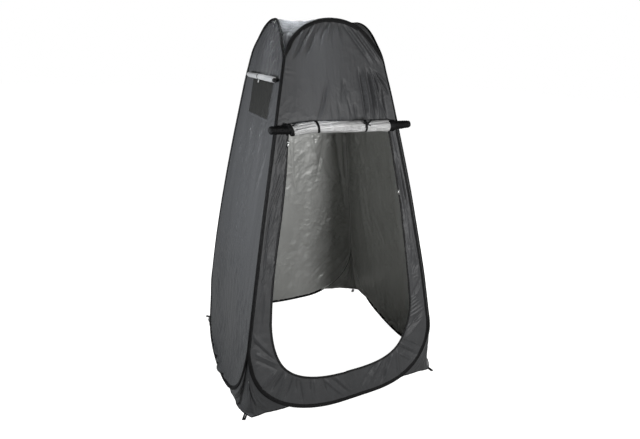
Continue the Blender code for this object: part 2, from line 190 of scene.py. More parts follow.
def as_it_stands(points):
    """The sprung loops bow a little and stand unevenly. Each corner is moved along its diagonal by its
    shift at that height, evened out over a hand's width, and a point takes its share of each corner's
    shift from how near it is to that corner. The top drifts aside, and the feet bow inwards."""
    x, y, z = np.moveaxis(points, -1, 0)
    half = BASE_HALF - LEAN * z
    moved = points.astype(float).copy()
    for (side_x, side_y), shifts in STAND_SHIFTS.items():
        near = np.clip(1 + side_x * x / half, 0, 2.2) * np.clip(1 + side_y * y / half, 0, 2.2) / 4
        out = near * evened(z, STAND_HEIGHTS, shifts) * 0.001 / math.sqrt(2)
        moved[..., 0] += side_x * out
        moved[..., 1] += side_y * out
    top = eased(ramp(z - 1.70, 0.12))
    front = ramp(-y / half)
    aside = np.clip(x / half, -1, 1) * (1 - front)
    moved[..., 0] += top * (TOP_DRIFT[0] + TOP_DRIFT[1] * front + TOP_DRIFT[2] * aside)
    moved[..., 2] -= top * LEFT_SAG * ramp(-aside)
    for axis, side, middle, width, move in FOOT_BOWS:
        along, out = (x, y) if axis == 1 else (y, x)
        near = np.exp(-((along - middle) / width) ** 2) * ramp(side * out / half * 3 - 2) * ramp(1 - z / 0.25)
        moved += near[..., None] * move
    return moved


def patch(points, spread, wrap_rows=False, wrap_columns=False, keep=None, capped=False):
    """The vertices, faces and UVs of a grid of points, with UVs in metres taken from spread, a grid of
    (along, across). Wrapping joins the last row or column to the first, keep picks the cells that are
    made, and capped closes both ends. The faces of a closed patch are turned outwards: reversed where
    the signed volume under them is negative."""
    rows, columns = points.shape[:2]
    index = np.arange(rows * columns).reshape(rows, columns)
    if wrap_rows:
        index = np.concatenate([index, index[:1]])
    if wrap_columns:
        index = np.concatenate([index, index[:, :1]], 1)
    here, after = slice(None, -1), slice(1, None)
    corners = ((here, here), (here, after), (after, after), (after, here))
    faces = np.stack([index[c] for c in corners], -1)
    places = np.stack([spread[c] for c in corners], -2)
    if keep is not None:
        faces, places = faces[keep], places[keep]
    used, faces = np.unique(faces.reshape(-1, 4), return_inverse=True)
    faces, places = [faces.reshape(-1, 4)], [places.reshape(-1, 2)]
    verts = as_it_stands(points.reshape(-1, 3)[used])
    if capped:
        faces += [index[:1, -2::-1], index[-1:, :-1]]
        places += [spread[0, -2::-1], spread[-1, :-1]]
    if capped or wrap_rows:
        a, b, c, d = (verts[faces[0][:, k]] - verts.mean(0) for k in range(4))
        if (a * (np.cross(b, c) + np.cross(c, d))).sum() < 0:
            places = [p.reshape(-1, f.shape[1], 2)[:, ::-1].reshape(-1, 2) for f, p in zip(faces, places)]
            faces = [f[:, ::-1] for f in faces]
    return verts, faces, np.concatenate(places)


def sewn_piece(name, patches, slot, material, *nodes):
    """One object made of several patches, in its material: it rides on the one body and stands for the
    nodes. Its slot is not used."""
    faces, first = [], 0
    for verts, groups, _ in patches:
        for group in groups:
            faces += (group + first).tolist()
        first += len(verts)
    mesh = bpy.data.meshes.new(name)
    mesh.from_pydata(np.concatenate([verts for verts, _, _ in patches]).tolist(), [], faces)
    layer = mesh.uv_layers.new(name="flat")
    layer.data.foreach_set("uv", np.concatenate([uv for _, _, uv in patches]).astype(np.float32).ravel())
    mesh.shade_smooth()
    mesh.materials.append(material)
    piece = bpy.data.objects.new(name, mesh)
    bpy.context.scene.collection.objects.link(piece)
    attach(piece, "root")
    if nodes:
        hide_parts(*nodes)
    return piece


def fill(tree, node, inputs):
    """Sets inputs of a node, each to a plain value or to another node's output."""
    for key, value in inputs.items():
        if isinstance(value, bpy.types.NodeSocket):
            tree.links.new(value, node.inputs[key])
        else:
            node.inputs[key].default_value = value
    return node


def add_node(tree, kind, inputs=None, **settings):
    """A shader node with its settings and inputs."""
    made = tree.nodes.new(kind)
    for key, value in settings.items():
        setattr(made, key, value)
    return fill(tree, made, inputs or {})


def maths(tree, operation, first, second=0.0, third=0.0):
    """One Math node's output."""
    return add_node(tree, "ShaderNodeMath", {0: first, 1: second, 2: third}, operation=operation).outputs[0]


def noise(tree, place, scale, detail, roughness=0.5):
    """A Noise Texture node's outputs."""
    return add_node(tree, "ShaderNodeTexNoise", {"Vector": place, "Scale": scale, "Detail": detail,
                                                 "Roughness": roughness}).outputs


def fitted(tree, value, low, high, to_low=0.0, to_high=1.0):
    """A value carried from one range to another by a Map Range node, and clamped."""
    return add_node(tree, "ShaderNodeMapRange", {"Value": value, "From Min": low, "From Max": high,
                                                 "To Min": to_low, "To Max": to_high}).outputs[0]


def mixed(tree, share, first, second):
    """A colour between two by a share of 0 to 1; each is a plain colour or another node's output."""
    pair = (c if isinstance(c, bpy.types.NodeSocket) else (*c, 1) for c in (first, second))
    return add_node(tree, "ShaderNodeMix", dict(zip((0, 6, 7), (share, *pair))), data_type="RGBA").outputs[2]


def bumped(tree, height, strength, distance, normal=None):
    """The normal of a surface raised by a height, over another normal where one is given."""
    under = {} if normal is None else {"Normal": normal}
    return add_node(tree, "ShaderNodeBump", {"Height": height, "Strength": strength, "Distance": distance,
                                             **under}).outputs[0]


def new_material(name):
    """An empty material with its node tree and its shader."""
    mat = bpy.data.materials.new(name)
    mat.use_nodes = True
    return mat, mat.node_tree, mat.node_tree.nodes["Principled BSDF"]


def height_group(name, amount):
    """An empty shader node group that turns a Vector and one named amount into a Height."""
    tree = bpy.data.node_groups.new(name, "ShaderNodeTree")
    for key, way, kind in (("Vector", "INPUT", "Vector"), (amount, "INPUT", "Float"),
                           ("Height", "OUTPUT", "Float")):
        tree.interface.new_socket(name=key, in_out=way, socket_type=f"NodeSocket{kind}")
    return tree, tree.nodes.new("NodeGroupInput").outputs, tree.nodes.new("NodeGroupOutput").inputs


def plain_weave():
    """Crossing threads: a height that is the higher of two rows of round threads, each dipping under
    the other at every second crossing. Threads is the number to a metre."""
    tree, given, made = height_group("plain weave", "Threads")
    place = add_node(tree, "ShaderNodeSeparateXYZ", {0: given["Vector"]}).outputs
    rate = maths(tree, "MULTIPLY", given["Threads"], math.pi)
    warp, weft = (maths(tree, "SINE", maths(tree, "MULTIPLY", place[k], rate)) for k in (0, 1))
    over = maths(tree, "MULTIPLY", warp, weft)
    rows = [maths(tree, "MULTIPLY_ADD", over, dip, maths(tree, "ABSOLUTE", row))
            for row, dip in ((warp, 0.35), (weft, -0.35))]
    fill(tree, made[0].node, {"Height": maths(tree, "MAXIMUM", *rows)})
    return tree


def crumpled():
    """Creases left by storage: the edges of warped cells of a given size, sharp and irregular, faded
    in and out by a slower noise, with finer cells laid over them."""
    tree, given, made = height_group("crumpled", "Cells")
    bend = noise(tree, given["Vector"], 9.0, 2.0)["Color"]
    offset = add_node(tree, "ShaderNodeVectorMath", {0: bend, "Scale": 0.05}, operation="SCALE").outputs[0]
    place = add_node(tree, "ShaderNodeVectorMath", {0: given["Vector"], 1: offset}).outputs[0]
    parts = []
    for factor, share in ((1.0, 1.0), (2.3, 0.45)):
        size = maths(tree, "MULTIPLY", given["Cells"], factor)
        cells = add_node(tree, "ShaderNodeTexVoronoi", {"Vector": place, "Scale": size}, feature="F1")
        parts.append(maths(tree, "MULTIPLY", cells.outputs["Distance"], share))
    some = fitted(tree, noise(tree, given["Vector"], 5.0, 1.0)[0], 0.35, 0.65)
    fill(tree, made[0].node, {"Height": maths(tree, "MULTIPLY", maths(tree, "ADD", *parts), some)})
    return tree


WEAVE = plain_weave()
CRUMPLED = crumpled()


def cloth_material(name, colours, roughness, crumple, cells, streak, threads=2200, weave=0.0002, metallic=0.0,
                   sheen=0.0, specular=0.5):
    """Woven cloth. Its colour drifts between two tones along stretched streaks, its threads show as a
    fine bump on the flat UVs, and its storage creases as a wider one."""
    mat, tree, shader = new_material(name)
    flat = add_node(tree, "ShaderNodeUVMap", uv_map="flat").outputs[0]
    solid = add_node(tree, "ShaderNodeTexCoord").outputs["Object"]
    long = add_node(tree, "ShaderNodeMapping", {"Vector": flat, "Scale": (*streak, 1.0)}).outputs[0]
    drift = noise(tree, long, 1.0, 3.0, 0.6)[0]
    threads_up = add_node(tree, "ShaderNodeGroup", {"Vector": flat, "Threads": threads}, node_tree=WEAVE)
    creases = add_node(tree, "ShaderNodeGroup", {"Vector": solid, "Cells": cells}, node_tree=CRUMPLED)
    wide = bumped(tree, creases.outputs[0], 1.0, crumple)
    fill(tree, shader, {
        "Base Color": mixed(tree, fitted(tree, drift, 0.3, 0.7), *colours),
        "Metallic": metallic,
        "Roughness": fitted(tree, drift, 0.0, 1.0, roughness - 0.05, roughness + 0.05),
        "Sheen Weight": sheen,
        "Sheen Roughness": 0.4,
        "Specular IOR Level": specular,
        "Normal": bumped(tree, threads_up.outputs[0], 0.5, weave, wide),
    })
    return mat


def add_stitches(mat, lines, pitch, thread):
    """Rows of lockstitch along a piece: a pale thread over six tenths of each pitch, on the given
    lines across the UVs, and a dimple in the cloth round each row."""
    tree = mat.node_tree
    shader = tree.nodes["Principled BSDF"]
    flat = add_node(tree, "ShaderNodeUVMap", uv_map="flat").outputs[0]
    place = add_node(tree, "ShaderNodeSeparateXYZ", {0: flat}).outputs
    dash = maths(tree, "LESS_THAN", maths(tree, "FRACT", maths(tree, "DIVIDE", place[0], pitch)), 0.62)
    aside = maths(tree, "ABSOLUTE", place[1])
    near = [maths(tree, "ABSOLUTE", maths(tree, "SUBTRACT", aside, line)) for line in lines]
    near = near[0] if len(near) == 1 else maths(tree, "MINIMUM", *near)
    on_thread = maths(tree, "MULTIPLY", dash, maths(tree, "LESS_THAN", near, 0.00035))
    colour, normal = (shader.inputs[key].links[0].from_socket for key in ("Base Color", "Normal"))
    height = maths(tree, "MULTIPLY_ADD", on_thread, 0.5, fitted(tree, near, 0.0, 0.0016))
    fill(tree, shader, {"Base Color": mixed(tree, on_thread, colour, thread),
                        "Normal": bumped(tree, height, 0.8, 0.0006, normal)})


LINED_FROM = 0.31           # across a wall from its middle: beyond this its foot is lined inside
SLEEVE_CLOTH = cloth_material("black sleeve cloth", ((0.0020, 0.0020, 0.0022), (0.0042, 0.0042, 0.0045)),
                              0.60, 0.0006, 60, (30, 200), threads=1500, weave=0.0003, specular=0.16)
SILVER_LINING = cloth_material("silver lining", ((0.46, 0.465, 0.45), (0.54, 0.545, 0.53)), 0.42, 0.0045, 26,
                               (10, 2.0), metallic=0.45)
HALF_LOOP = half_loop()


def sleeve(wall, seed):
    """A keyhole section carried round the loop: a bead over the wire, closed by two layers of binding
    that lie on the wall's cloth. The bead swells and puckers a little along its way. On the inside the
    lining is turned over it, except along the free foot of the wall."""
    ring = evenly(mirror_join(HALF_LOOP), RING_POINTS + 1)[:-1]
    inward = across(ring, closed=True)
    s = np.arange(RING_POINTS) * RING_STEP
    height = ring[:, 1] * COS_LEAN
    on_arc = on_arcs(height)[:, None]
    # on the left wall's back seam this reach is widened, so the black binding paints the shade beside that
    # seam
    on_seam = seam_reach(wall, ring[:, :1], height[:, None])
    radius, flat, edge = (low + (high - low) * on_arc for low, high in
                          (BEAD_RADIUS, [t / 2 for t in BINDING_THICK], (on_seam, ARC_REACH)))
    edge = edge + 0.0006 * swell(s * 25, 0, seed)[:, None] * on_arc
    shut = math.asin(BINDING_THICK[1] / 2 / BEAD_RADIUS[1])
    angle = np.concatenate([np.linspace(math.pi, math.tau - shut, 9), np.linspace(shut, math.pi, 9)])
    bead = radius * (1 + 0.035 * swell(s[:, None] * 40, np.cos(angle)[None], seed + 1)
                     + 0.02 * swell(s[:, None] * 140, np.cos(angle)[None], seed + 2))
    a = bead * np.cos(angle)
    n = bead * np.sin(angle)
    middle = (radius + edge) / 2
    a = np.concatenate([a[:, :9], middle, edge, edge + flat * 0.8, edge, middle, a[:, 9:-1]], 1)
    pull = PAIR_PULL * (1 - on_arc)
    n = np.concatenate([n[:, :9] - pull, -flat, -flat, flat * 0, flat, flat, n[:, 9:-1] - pull], 1)
    points = on_wall(wall, ring[:, :1] + inward[:, :1] * a + np.sign(ring[:, :1]) * pull,
                     ring[:, 1:] + inward[:, 1:] * a, n)
    girth = edge - radius + radius * (angle - shut)
    back = radius - edge - radius * (math.tau - shut - angle)
    wide = np.concatenate([back[:, :9], middle - edge, *[edge * 0] * 3, edge - middle, girth[:, 9:]], 1)
    along = np.arange(RING_POINTS + 1)[:, None] * RING_STEP
    spread = np.stack(np.broadcast_arrays(along, np.concatenate([wide, wide[:1]])), -1)
    piece = sewn_piece(f"{wall}_loop_sleeve", [patch(points, spread, wrap_rows=True, wrap_columns=True)],
                       "sleeve_cloth", SLEEVE_CLOTH, f"{wall}_frame_loop")
    column = np.arange(a.shape[1])[None]
    lined = (column <= 10) & ((height > SEAM_BOTTOM_Z) | (np.abs(ring[:, 0]) > LINED_FROM))[:, None]
    lined &= column >= np.where((height < SEAM_TOP_Z) & (height > SEAM_BOTTOM_Z), 4, 5)[:, None]
    piece.data.materials.append(SILVER_LINING)
    piece.data.polygons.foreach_set("material_index", lined.astype(np.int32).ravel())


add_stitches(SLEEVE_CLOTH, (0.0022,), 0.0032, (0.028, 0.028, 0.029))
for number, wall in enumerate(WALLS):
    sleeve(wall, 10 * number)

# Back and side walls. Each is one sheet of thin grey polyester with a silver lining, sewn into its
# loop's sleeve all round; the loop holds it loosely, so it hangs in soft folds and gathers at the wire.
CLOTH_THICK = 0.0009
CLOTH_EDGE = (0.0010, 0.0056)        # from the wire in to the raw edge inside the sleeve, on seams and arcs
LOWER_BLOCK_Z = 0.60                 # above this the rows of a wall's grid run level
WINDOW_HALF = 0.158
WINDOW_Z = (1.432, 1.600)
WINDOW_AHEAD = 0.058                 # how far the side walls' cloth is shifted forward at its middle
WALL_COLUMNS = 144                   # in a wall's grid; a quarter of them on each side of the window
WALL_ROWS = (84, 140, 28, 56)
WINDOW_CELLS = (slice(sum(WALL_ROWS[:2]), sum(WALL_ROWS[:3])),
                slice(WALL_COLUMNS // 4, WALL_COLUMNS * 3 // 4))
SHELL_CLOTH = cloth_material("grey shell cloth", ((0.043, 0.0437, 0.0455), (0.052, 0.0528, 0.055)), 0.48,
                             0.0022, 26, (14, 1.2), sheen=0.05, specular=0.28)
CLOTH_HALF = HALF_LOOP + across(HALF_LOOP) * np.interp(on_arcs(HALF_LOOP[:, 1:] * COS_LEAN), (0, 1),
                                                       CLOTH_EDGE)
EDGE_PATH = evenly(mirror_join(CLOTH_HALF), 261)


def covered(wall, u, v):
    """How far from the cloth's edge the binding covers it along the seams."""
    return (seam_reach(wall, u, v * COS_LEAN) - CLOTH_EDGE[0]) * (1 - on_arcs(v * COS_LEAN))


def blend_patch(bottom, top, left, right):
    """A grid between four edges: the two ruled sheets between opposite edges added, less the sheet
    ruled between the corners."""
    s = np.linspace(0, 1, len(bottom))[None, :, None]
    t = np.linspace(0, 1, len(left))[:, None, None]
    ruled = (1 - t) * bottom[None] + t * top[None] + (1 - s) * left[:, None] + s * right[:, None]
    return ruled - ((1 - s) * (1 - t) * bottom[0] + s * (1 - t) * bottom[-1] + (1 - s) * t * top[0]
                    + s * t * top[-1])


def edge_between(low, high, count):
    """Points of the cloth's right edge between two heights up the slope, evenly spaced."""
    v = np.linspace(low, high, 400)
    return evenly(np.stack([np.interp(v, CLOTH_HALF[:, 1], CLOTH_HALF[:, 0]), v], -1), count)


def level_row(v, count):
    """A level row of points across a wall, with half of them inside the window's width where the
    wall is narrow enough for that."""
    half = np.interp(v, CLOTH_HALF[:, 1], CLOTH_HALF[:, 0])
    share = max(0.5, WINDOW_HALF / half) if v <= WINDOW_Z[1] / COS_LEAN + 0.001 else 0.5
    c = np.linspace(-1, 1, count)
    u = half * np.interp(np.abs(c), [0, 0.5, 1], [0, share, 1]) * np.sign(c)
    return np.stack([u, np.full(count, v)], -1)


def arc_row(low, high, count):
    """Points along the cloth's edge over one of its arcs, from the left side to the right; low and
    high are the heights up the slope where the arc starts and where it crosses the middle."""
    arc = CLOTH_HALF[(CLOTH_HALF[:, 1] >= min(low, high)) & (CLOTH_HALF[:, 1] <= max(low, high))]
    ends = edge_between(low, low + (0.0001 if high > low else -0.0001), 2)[:1]
    arc = np.concatenate([ends, arc] if high > low else [ends, arc[::-1]])
    return evenly(np.concatenate([arc * [-1, 1], arc[::-1]]), count)


def wall_grid():
    """A wall's grid in (u, v): a patch over the bottom arc, level rows up the middle, which meet the
    window's edges, and a patch under the top arc."""
    low, high = SEAM_BOTTOM_Z / COS_LEAN, SEAM_TOP_Z / COS_LEAN
    first, sill, head = LOWER_BLOCK_Z / COS_LEAN, WINDOW_Z[0] / COS_LEAN, WINDOW_Z[1] / COS_LEAN
    count = WALL_COLUMNS + 1
    side = edge_between(low, first, WALL_ROWS[0] + 1)
    lower = blend_patch(arc_row(low, 0.0, count), level_row(first, count), side * [-1, 1], side)
    middle, window = (np.stack([level_row(v, count) for v in np.linspace(start, end, rows + 1)])[1:]
                      for start, end, rows in ((first, sill, WALL_ROWS[1]), (sill, head, WALL_ROWS[2])))
    side = edge_between(head, high, WALL_ROWS[3] + 1)
    upper = blend_patch(level_row(head, count), arc_row(high, 2.0, count), side * [-1, 1], side)
    return np.concatenate([lower, middle, window, upper[1:]])


def from_edge(grid, path):
    """For each grid point, its distance from a path and how far along the path the nearest point is."""
    flat = grid.reshape(-1, 2)
    reach = walked(path)
    a, run = path[:-1], np.diff(path, axis=0)
    share = np.clip(((flat[:, None] - a) * run).sum(-1) / (run ** 2).sum(-1), 0, 1)
    gap = np.linalg.norm(flat[:, None] - a - share[..., None] * run, axis=-1)
    nearest = gap.argmin(1)
    rows = np.arange(len(flat))
    along = reach[nearest] + share[rows, nearest] * (reach[nearest + 1] - reach[nearest])
    return gap[rows, nearest].reshape(grid.shape[:2]), along.reshape(grid.shape[:2])


def from_binding(wall, grid):
    """The same for a wall's sewn edge, with the distance taken from where the binding ends."""
    distance, along = from_edge(grid, EDGE_PATH)
    return np.maximum(distance - covered(wall, grid[..., 0], grid[..., 1]), 0), along


def ridges(u, v, folds):
    """Height of listed folds, given in mm. Each runs from one point to another with a sideways
    bow, has a rounded ridge of the given half width and height, and fades out at both ends."""
    height = np.zeros(u.shape)
    for u0, v0, u1, v1, bow, width, rise in np.array(folds) * 0.001:
        run = np.array([u1 - u0, v1 - v0])
        length = np.hypot(*run)
        along = ((u - u0) * run[0] + (v - v0) * run[1]) / length ** 2
        aside = ((v - v0) * run[0] - (u - u0) * run[1]) / length
        aside = aside - bow * 4 * along * (1 - along)
        fade = eased(ramp(along + 0.1, 0.25) * ramp(1.15 - along, 0.55))
        height += rise * fade / np.cosh(1.6 * aside / (width * (0.55 + 0.45 * fade)))
    return height


def gathers(distance, along, spacing, depth, reach, slant, seed):
    """Height of the puckers along a sewn edge: round ridges with sharp valleys, unevenly spaced and
    of uneven length, that start at the stitching and die out over reach."""
    along = along + slant * distance
    phase = along / spacing + 0.9 * swell(along / spacing * 0.35, distance / reach * 0.3, seed)
    ridge = np.abs(np.sin(math.pi * phase)) ** 0.8 - 0.5
    uneven = np.clip(0.55 + 0.75 * swell(along / spacing * 0.45, distance * 0, seed + 1), 0.05, 1.5)
    length = reach * np.clip(0.7 + 0.6 * swell(along / spacing * 0.6, distance * 0, seed + 2), 0.2, 1.6)
    return depth * uneven * ridge * np.exp(-(distance / length) ** 1.3) * ramp(distance, 0.012)


def neighbours(array, di, dj):
    """The points of a grid that have a neighbour so many rows and columns away, and those neighbours."""
    rows, columns = array.shape[:2]
    return (array[:rows - di, max(0, -dj):columns - max(0, dj)],
            array[di:, max(0, dj):columns - max(0, -dj)])


def smoothed(array, rounds=14):
    """A grid of values, each drawn over and over to the mean of itself and its four neighbours."""
    for _ in range(rounds):
        padded = np.pad(array, 1, mode="edge")
        array = (padded[:-2, 1:-1] + padded[2:, 1:-1] + padded[1:-1, :-2] + padded[1:-1, 2:] + array) / 5
    return array


THREAD_PULLS = (                     # rows and columns away, the pull and whether it only pushes apart
    ((0, 1), 0.7, False), ((1, 0), 0.7, False), ((1, 1), 0.25, False), ((1, -1), 0.25, False),
    ((0, 2), 0.22, True), ((2, 0), 0.22, True),
)


def settled(points, rounds, pinned=False):
    """Lets sewn cloth come to rest as thin inextensible cloth does. Neighbours along the threads and the
    diagonals are drawn to the distance they have in the cut cloth, which is the folded shape's own
    length evened out over a hand's width; every second point is only kept from coming nearer, and the
    edge and pinned points stay."""
    free = np.zeros(points.shape[:2], np.float32)
    free[1:-1, 1:-1] = 1
    free = np.where(pinned, 0, free).astype(np.float32)[..., None]
    place = points.astype(np.float32)
    links = []
    for (di, dj), pull, limp in THREAD_PULLS:
        first, second = neighbours(place, di, dj)
        rest = np.linalg.norm(second - first, axis=-1)
        rest = rest * 0.992 if limp else rest.mean() * smoothed(rest / rest.mean())
        links.append((di, dj, pull, limp, rest.astype(np.float32)))
    before = place.copy()
    for _ in range(rounds):
        carry = (place - before) * 0.85 * free
        before = place.copy()
        place += carry
        for di, dj, pull, limp, rest in links:
            first, second = neighbours(place, di, dj)
            loose_first, loose_second = neighbours(free, di, dj)
            gap = second - first
            length = np.sqrt((gap * gap).sum(-1))
            short = np.minimum(length - rest, 0) if limp else length - rest
            move = gap * (pull * 0.5 * short / np.maximum(length, 1e-6))[..., None]
            first += move * loose_first
            second -= move * loose_second
    return place.astype(float)


def thicken(piece, thickness, offset, inner_material=0):
    """Gives a sheet its thickness, to one side or both, with another material on its inner side."""
    body = piece.modifiers.new("thickness", "SOLIDIFY")
    body.thickness = thickness
    body.offset = offset
    body.material_offset = inner_material


def cloth_piece(name, grid, place, node, keep=None, slot="shell_cloth", cloths=(SHELL_CLOTH, SILVER_LINING)):
    """A sheet of lined cloth, with its outer and inner material; its lining lies on its inner side."""
    piece = sewn_piece(name, [patch(place, grid, keep=keep)], slot, cloths[0], node)
    piece.data.materials.append(cloths[1])
    thicken(piece, CLOTH_THICK, -1.0, inner_material=1)
    return piece


BACK_FOLDS = (               # start, end, bow, half width and rise, in mm
    (0, 1260, -50, 880, 10, 10, -5.0), (-100, 1400, -190, 1060, 12, 12, -6.0),
    (-200, 1400, -180, 970, -12, 11, 6.5), (-200, 1130, -330, 920, 6, 12, 6.0),
    (-250, 1450, -450, 650, 12, 16, 11.0), (-300, 1450, -380, 920, 8, 12, -9.0),
    (-160, 860, -230, 650, 10, 9, 5.0), (-510, 340, -260, 80, -20, 14, 8.0),
    (-470, 380, -200, 130, -10, 10, 5.0), (-380, 390, -170, 180, -10, 10, 4.5),
    (-500, 310, -460, 180, 0, 12, -6.0), (80, 1700, 60, 1200, 10, 14, 5.0),
    (250, 1550, 360, 900, 10, 16, 6.0),
)
LEFT_FOLDS = (
    (110, 1900, 190, 1740, 6, 12, 7.5), (60, 1870, 140, 1700, 6, 10, -3.0),
    (-340, 1600, -180, 1450, 0, 10, 4.5), (-30, 1440, -10, 1280, 0, 12, 3.0),
    (170, 1460, 150, 1250, 0, 10, 3.0), (-150, 1280, -260, 1120, 0, 12, 3.5),
    (100, 1300, 20, 1100, 0, 10, 3.0), (270, 1320, 200, 1020, 0, 10, 3.5),
    (-250, 1050, -400, 800, 8, 16, 5.0), (-180, 1050, -260, 800, 8, 14, 3.5),
)
RIGHT_FOLDS = np.array(LEFT_FOLDS) * (-1, 1, -1, 1, -1, 1, 1)


def wall_height(wall, grid, seed, folds, forward):
    """How far a loosely held wall stands off its plane: slow swells, long streaks that run down the
    slope, gathers at the sleeve and the listed folds, all flat under the sleeve's binding."""
    u, v = np.moveaxis(grid, -1, 0)
    distance, along = from_binding(wall, grid)
    calm = ramp(distance, 0.10)
    slow = 0.0045 * swell(u * 5, v * 1.6, seed) * calm
    tilted = u + forward * 0.12 * v
    long = 0.0010 * swell(tilted * 26, v * 2.4, seed + 1) * calm ** 0.5
    fine = 0.00018 * swell(tilted * 80, v * 7, seed + 2) * ramp(distance, 0.02)
    patchy = ramp(0.5 + 0.9 * swell(u * 4, v * 3, seed + 4))
    crushed = 0.0022 * (1 - 2 * np.abs(swell(u * 18, v * 12, seed + 5))) * calm * patchy
    crushed += 0.0013 * (1 - 2 * np.abs(swell(u * 42, v * 30, seed + 6))) * calm * patchy
    sewn = gathers(distance, along, 0.034, 0.0042, 0.075, 0.25 * forward, seed + 3)
    placed = ridges(u, v, folds) * ramp(distance, 0.025)
    return (slow + long + fine + crushed + placed) * ramp(distance, 0.012) + sewn


GRID = wall_grid()
side_cells = {}
for wall, seed, folds, forward in (("back", 100, BACK_FOLDS, 1), ("left", 200, LEFT_FOLDS, 1),
                                   ("right", 300, RIGHT_FOLDS, -1)):
    sheet_grid = GRID.copy()
    keep = np.ones((GRID.shape[0] - 1, GRID.shape[1] - 1), bool)
    if wall != "back":
        half = np.maximum(np.interp(GRID[..., 1], CLOTH_HALF[:, 1], CLOTH_HALF[:, 0]), 0.02)
        sheet_grid[..., 0] += forward * WINDOW_AHEAD * ramp(1 - (GRID[..., 0] / half) ** 2)
        keep[WINDOW_CELLS] = False
    n = wall_height(wall, sheet_grid, seed, folds, forward)
    shape = settled(np.concatenate([sheet_grid, n[..., None]], -1), 60)
    place = side_cells[wall] = on_wall(wall, *np.moveaxis(shape, -1, 0))
    piece = cloth_piece(f"{wall}_wall", sheet_grid, place, f"{wall}_panel", keep)

# Header. The front wall above the doorway: the same lined cloth, gathered where it is sewn round the
# loop's top arc, and hemmed straight across behind the rolled door.
HEADER_HEM_Z = 1.412
HEADER_CELLS = (200, 116)
HEM_HELD = 0.034                     # how far up from the hem the cloth lies flat behind the roll
HEADER_FOLDS = (                     # start, end, bow, half width and rise, in mm
    (-152, 1870, -222, 1750, 4, 7.5, 4.5), (-114, 1893, -214, 1745, 4, 7.0, -4.0),
    (-92, 1897, -180, 1757, 4, 7.0, 3.4), (-69, 1898, -155, 1750, 3, 6.5, -4.0),
    (-36, 1903, -72, 1805, 0, 6.0, -3.2), (-18, 1905, -34, 1830, 0, 6.0, 2.2),
    (-1, 1908, -3, 1795, 0, 8.0, -2.0), (28, 1905, 50, 1820, 0, 5.5, -3.4),
    (58, 1899, 180, 1735, 8, 7.0, -4.6), (75, 1896, 195, 1745, 8, 7.0, 4.0),
    (100, 1894, 224, 1738, 6, 6.5, -4.2), (128, 1887, 240, 1738, 4, 6.5, 3.4),
    (115, 1700, 141, 1460, 4, 7.5, -5.6), (136, 1690, 163, 1470, 4, 8.0, 4.0),
    (159, 1700, 188, 1460, 4, 7.5, -5.2), (178, 1690, 210, 1480, 5, 7.0, 3.6),
    (186, 1700, 236, 1490, 8, 6.5, -4.8), (203, 1697, 282, 1580, 0, 6.0, -4.6),
    (216, 1690, 288, 1605, 0, 5.5, 3.0), (234, 1630, 258, 1470, -8, 7.0, -4.0),
    (30, 1650, 18, 1555, 0, 7.0, -3.2), (32, 1650, 70, 1480, -4, 7.0, -3.4),
    (46, 1600, 50, 1470, 0, 7.5, 2.8), (-60, 1640, -122, 1450, 8, 7.5, -3.4),
    (-50, 1640, -104, 1450, 8, 8.5, 2.2), (-40, 1540, -30, 1450, 0, 6.0, -1.8),
    (0, 1540, 6, 1450, 0, 6.0, -2.2), (85, 1540, 96, 1450, 0, 6.0, -2.8),
    (-200, 1640, -225, 1460, 0, 16.0, 1.6),
)

count = HEADER_CELLS[0] + 1
hem, high = HEADER_HEM_Z / COS_LEAN, SEAM_TOP_Z / COS_LEAN
side = edge_between(hem, high, HEADER_CELLS[1] + 1)
lower_edge = np.stack([np.linspace(-side[0, 0], side[0, 0], count), np.full(count, hem)], -1)
HEADER = blend_patch(lower_edge, arc_row(high, 2.0, count), side * [-1, 1], side)
u, v = np.moveaxis(HEADER, -1, 0)
distance, along = from_binding("front", HEADER)
above_hem = v - hem
sewn = gathers(distance, along, 0.026, 0.0022, 0.040, 0.1, 411) * np.clip((v - 1.55) / 0.15, 0.25, 1)
n = 0.0022 * swell(u * 6, v * 3, 401) * ramp(distance, 0.08)
drawn = 1.35 + 1.1 * ramp(u - 0.08, 0.08) * ramp(1.72 - v, 0.06)
n += 0.00035 * swell(u * 75, v * 9, 402) + ridges(u, v, HEADER_FOLDS) * drawn
n = (n * ramp(distance, 0.014) + sewn) * ramp(above_hem - 0.006, 0.04)
shape = settled(np.stack([u, v, n], -1), 60, pinned=above_hem < HEM_HELD)
piece = cloth_piece("header", HEADER, on_wall("front", *np.moveaxis(shape, -1, 0)), "front_header_panel")

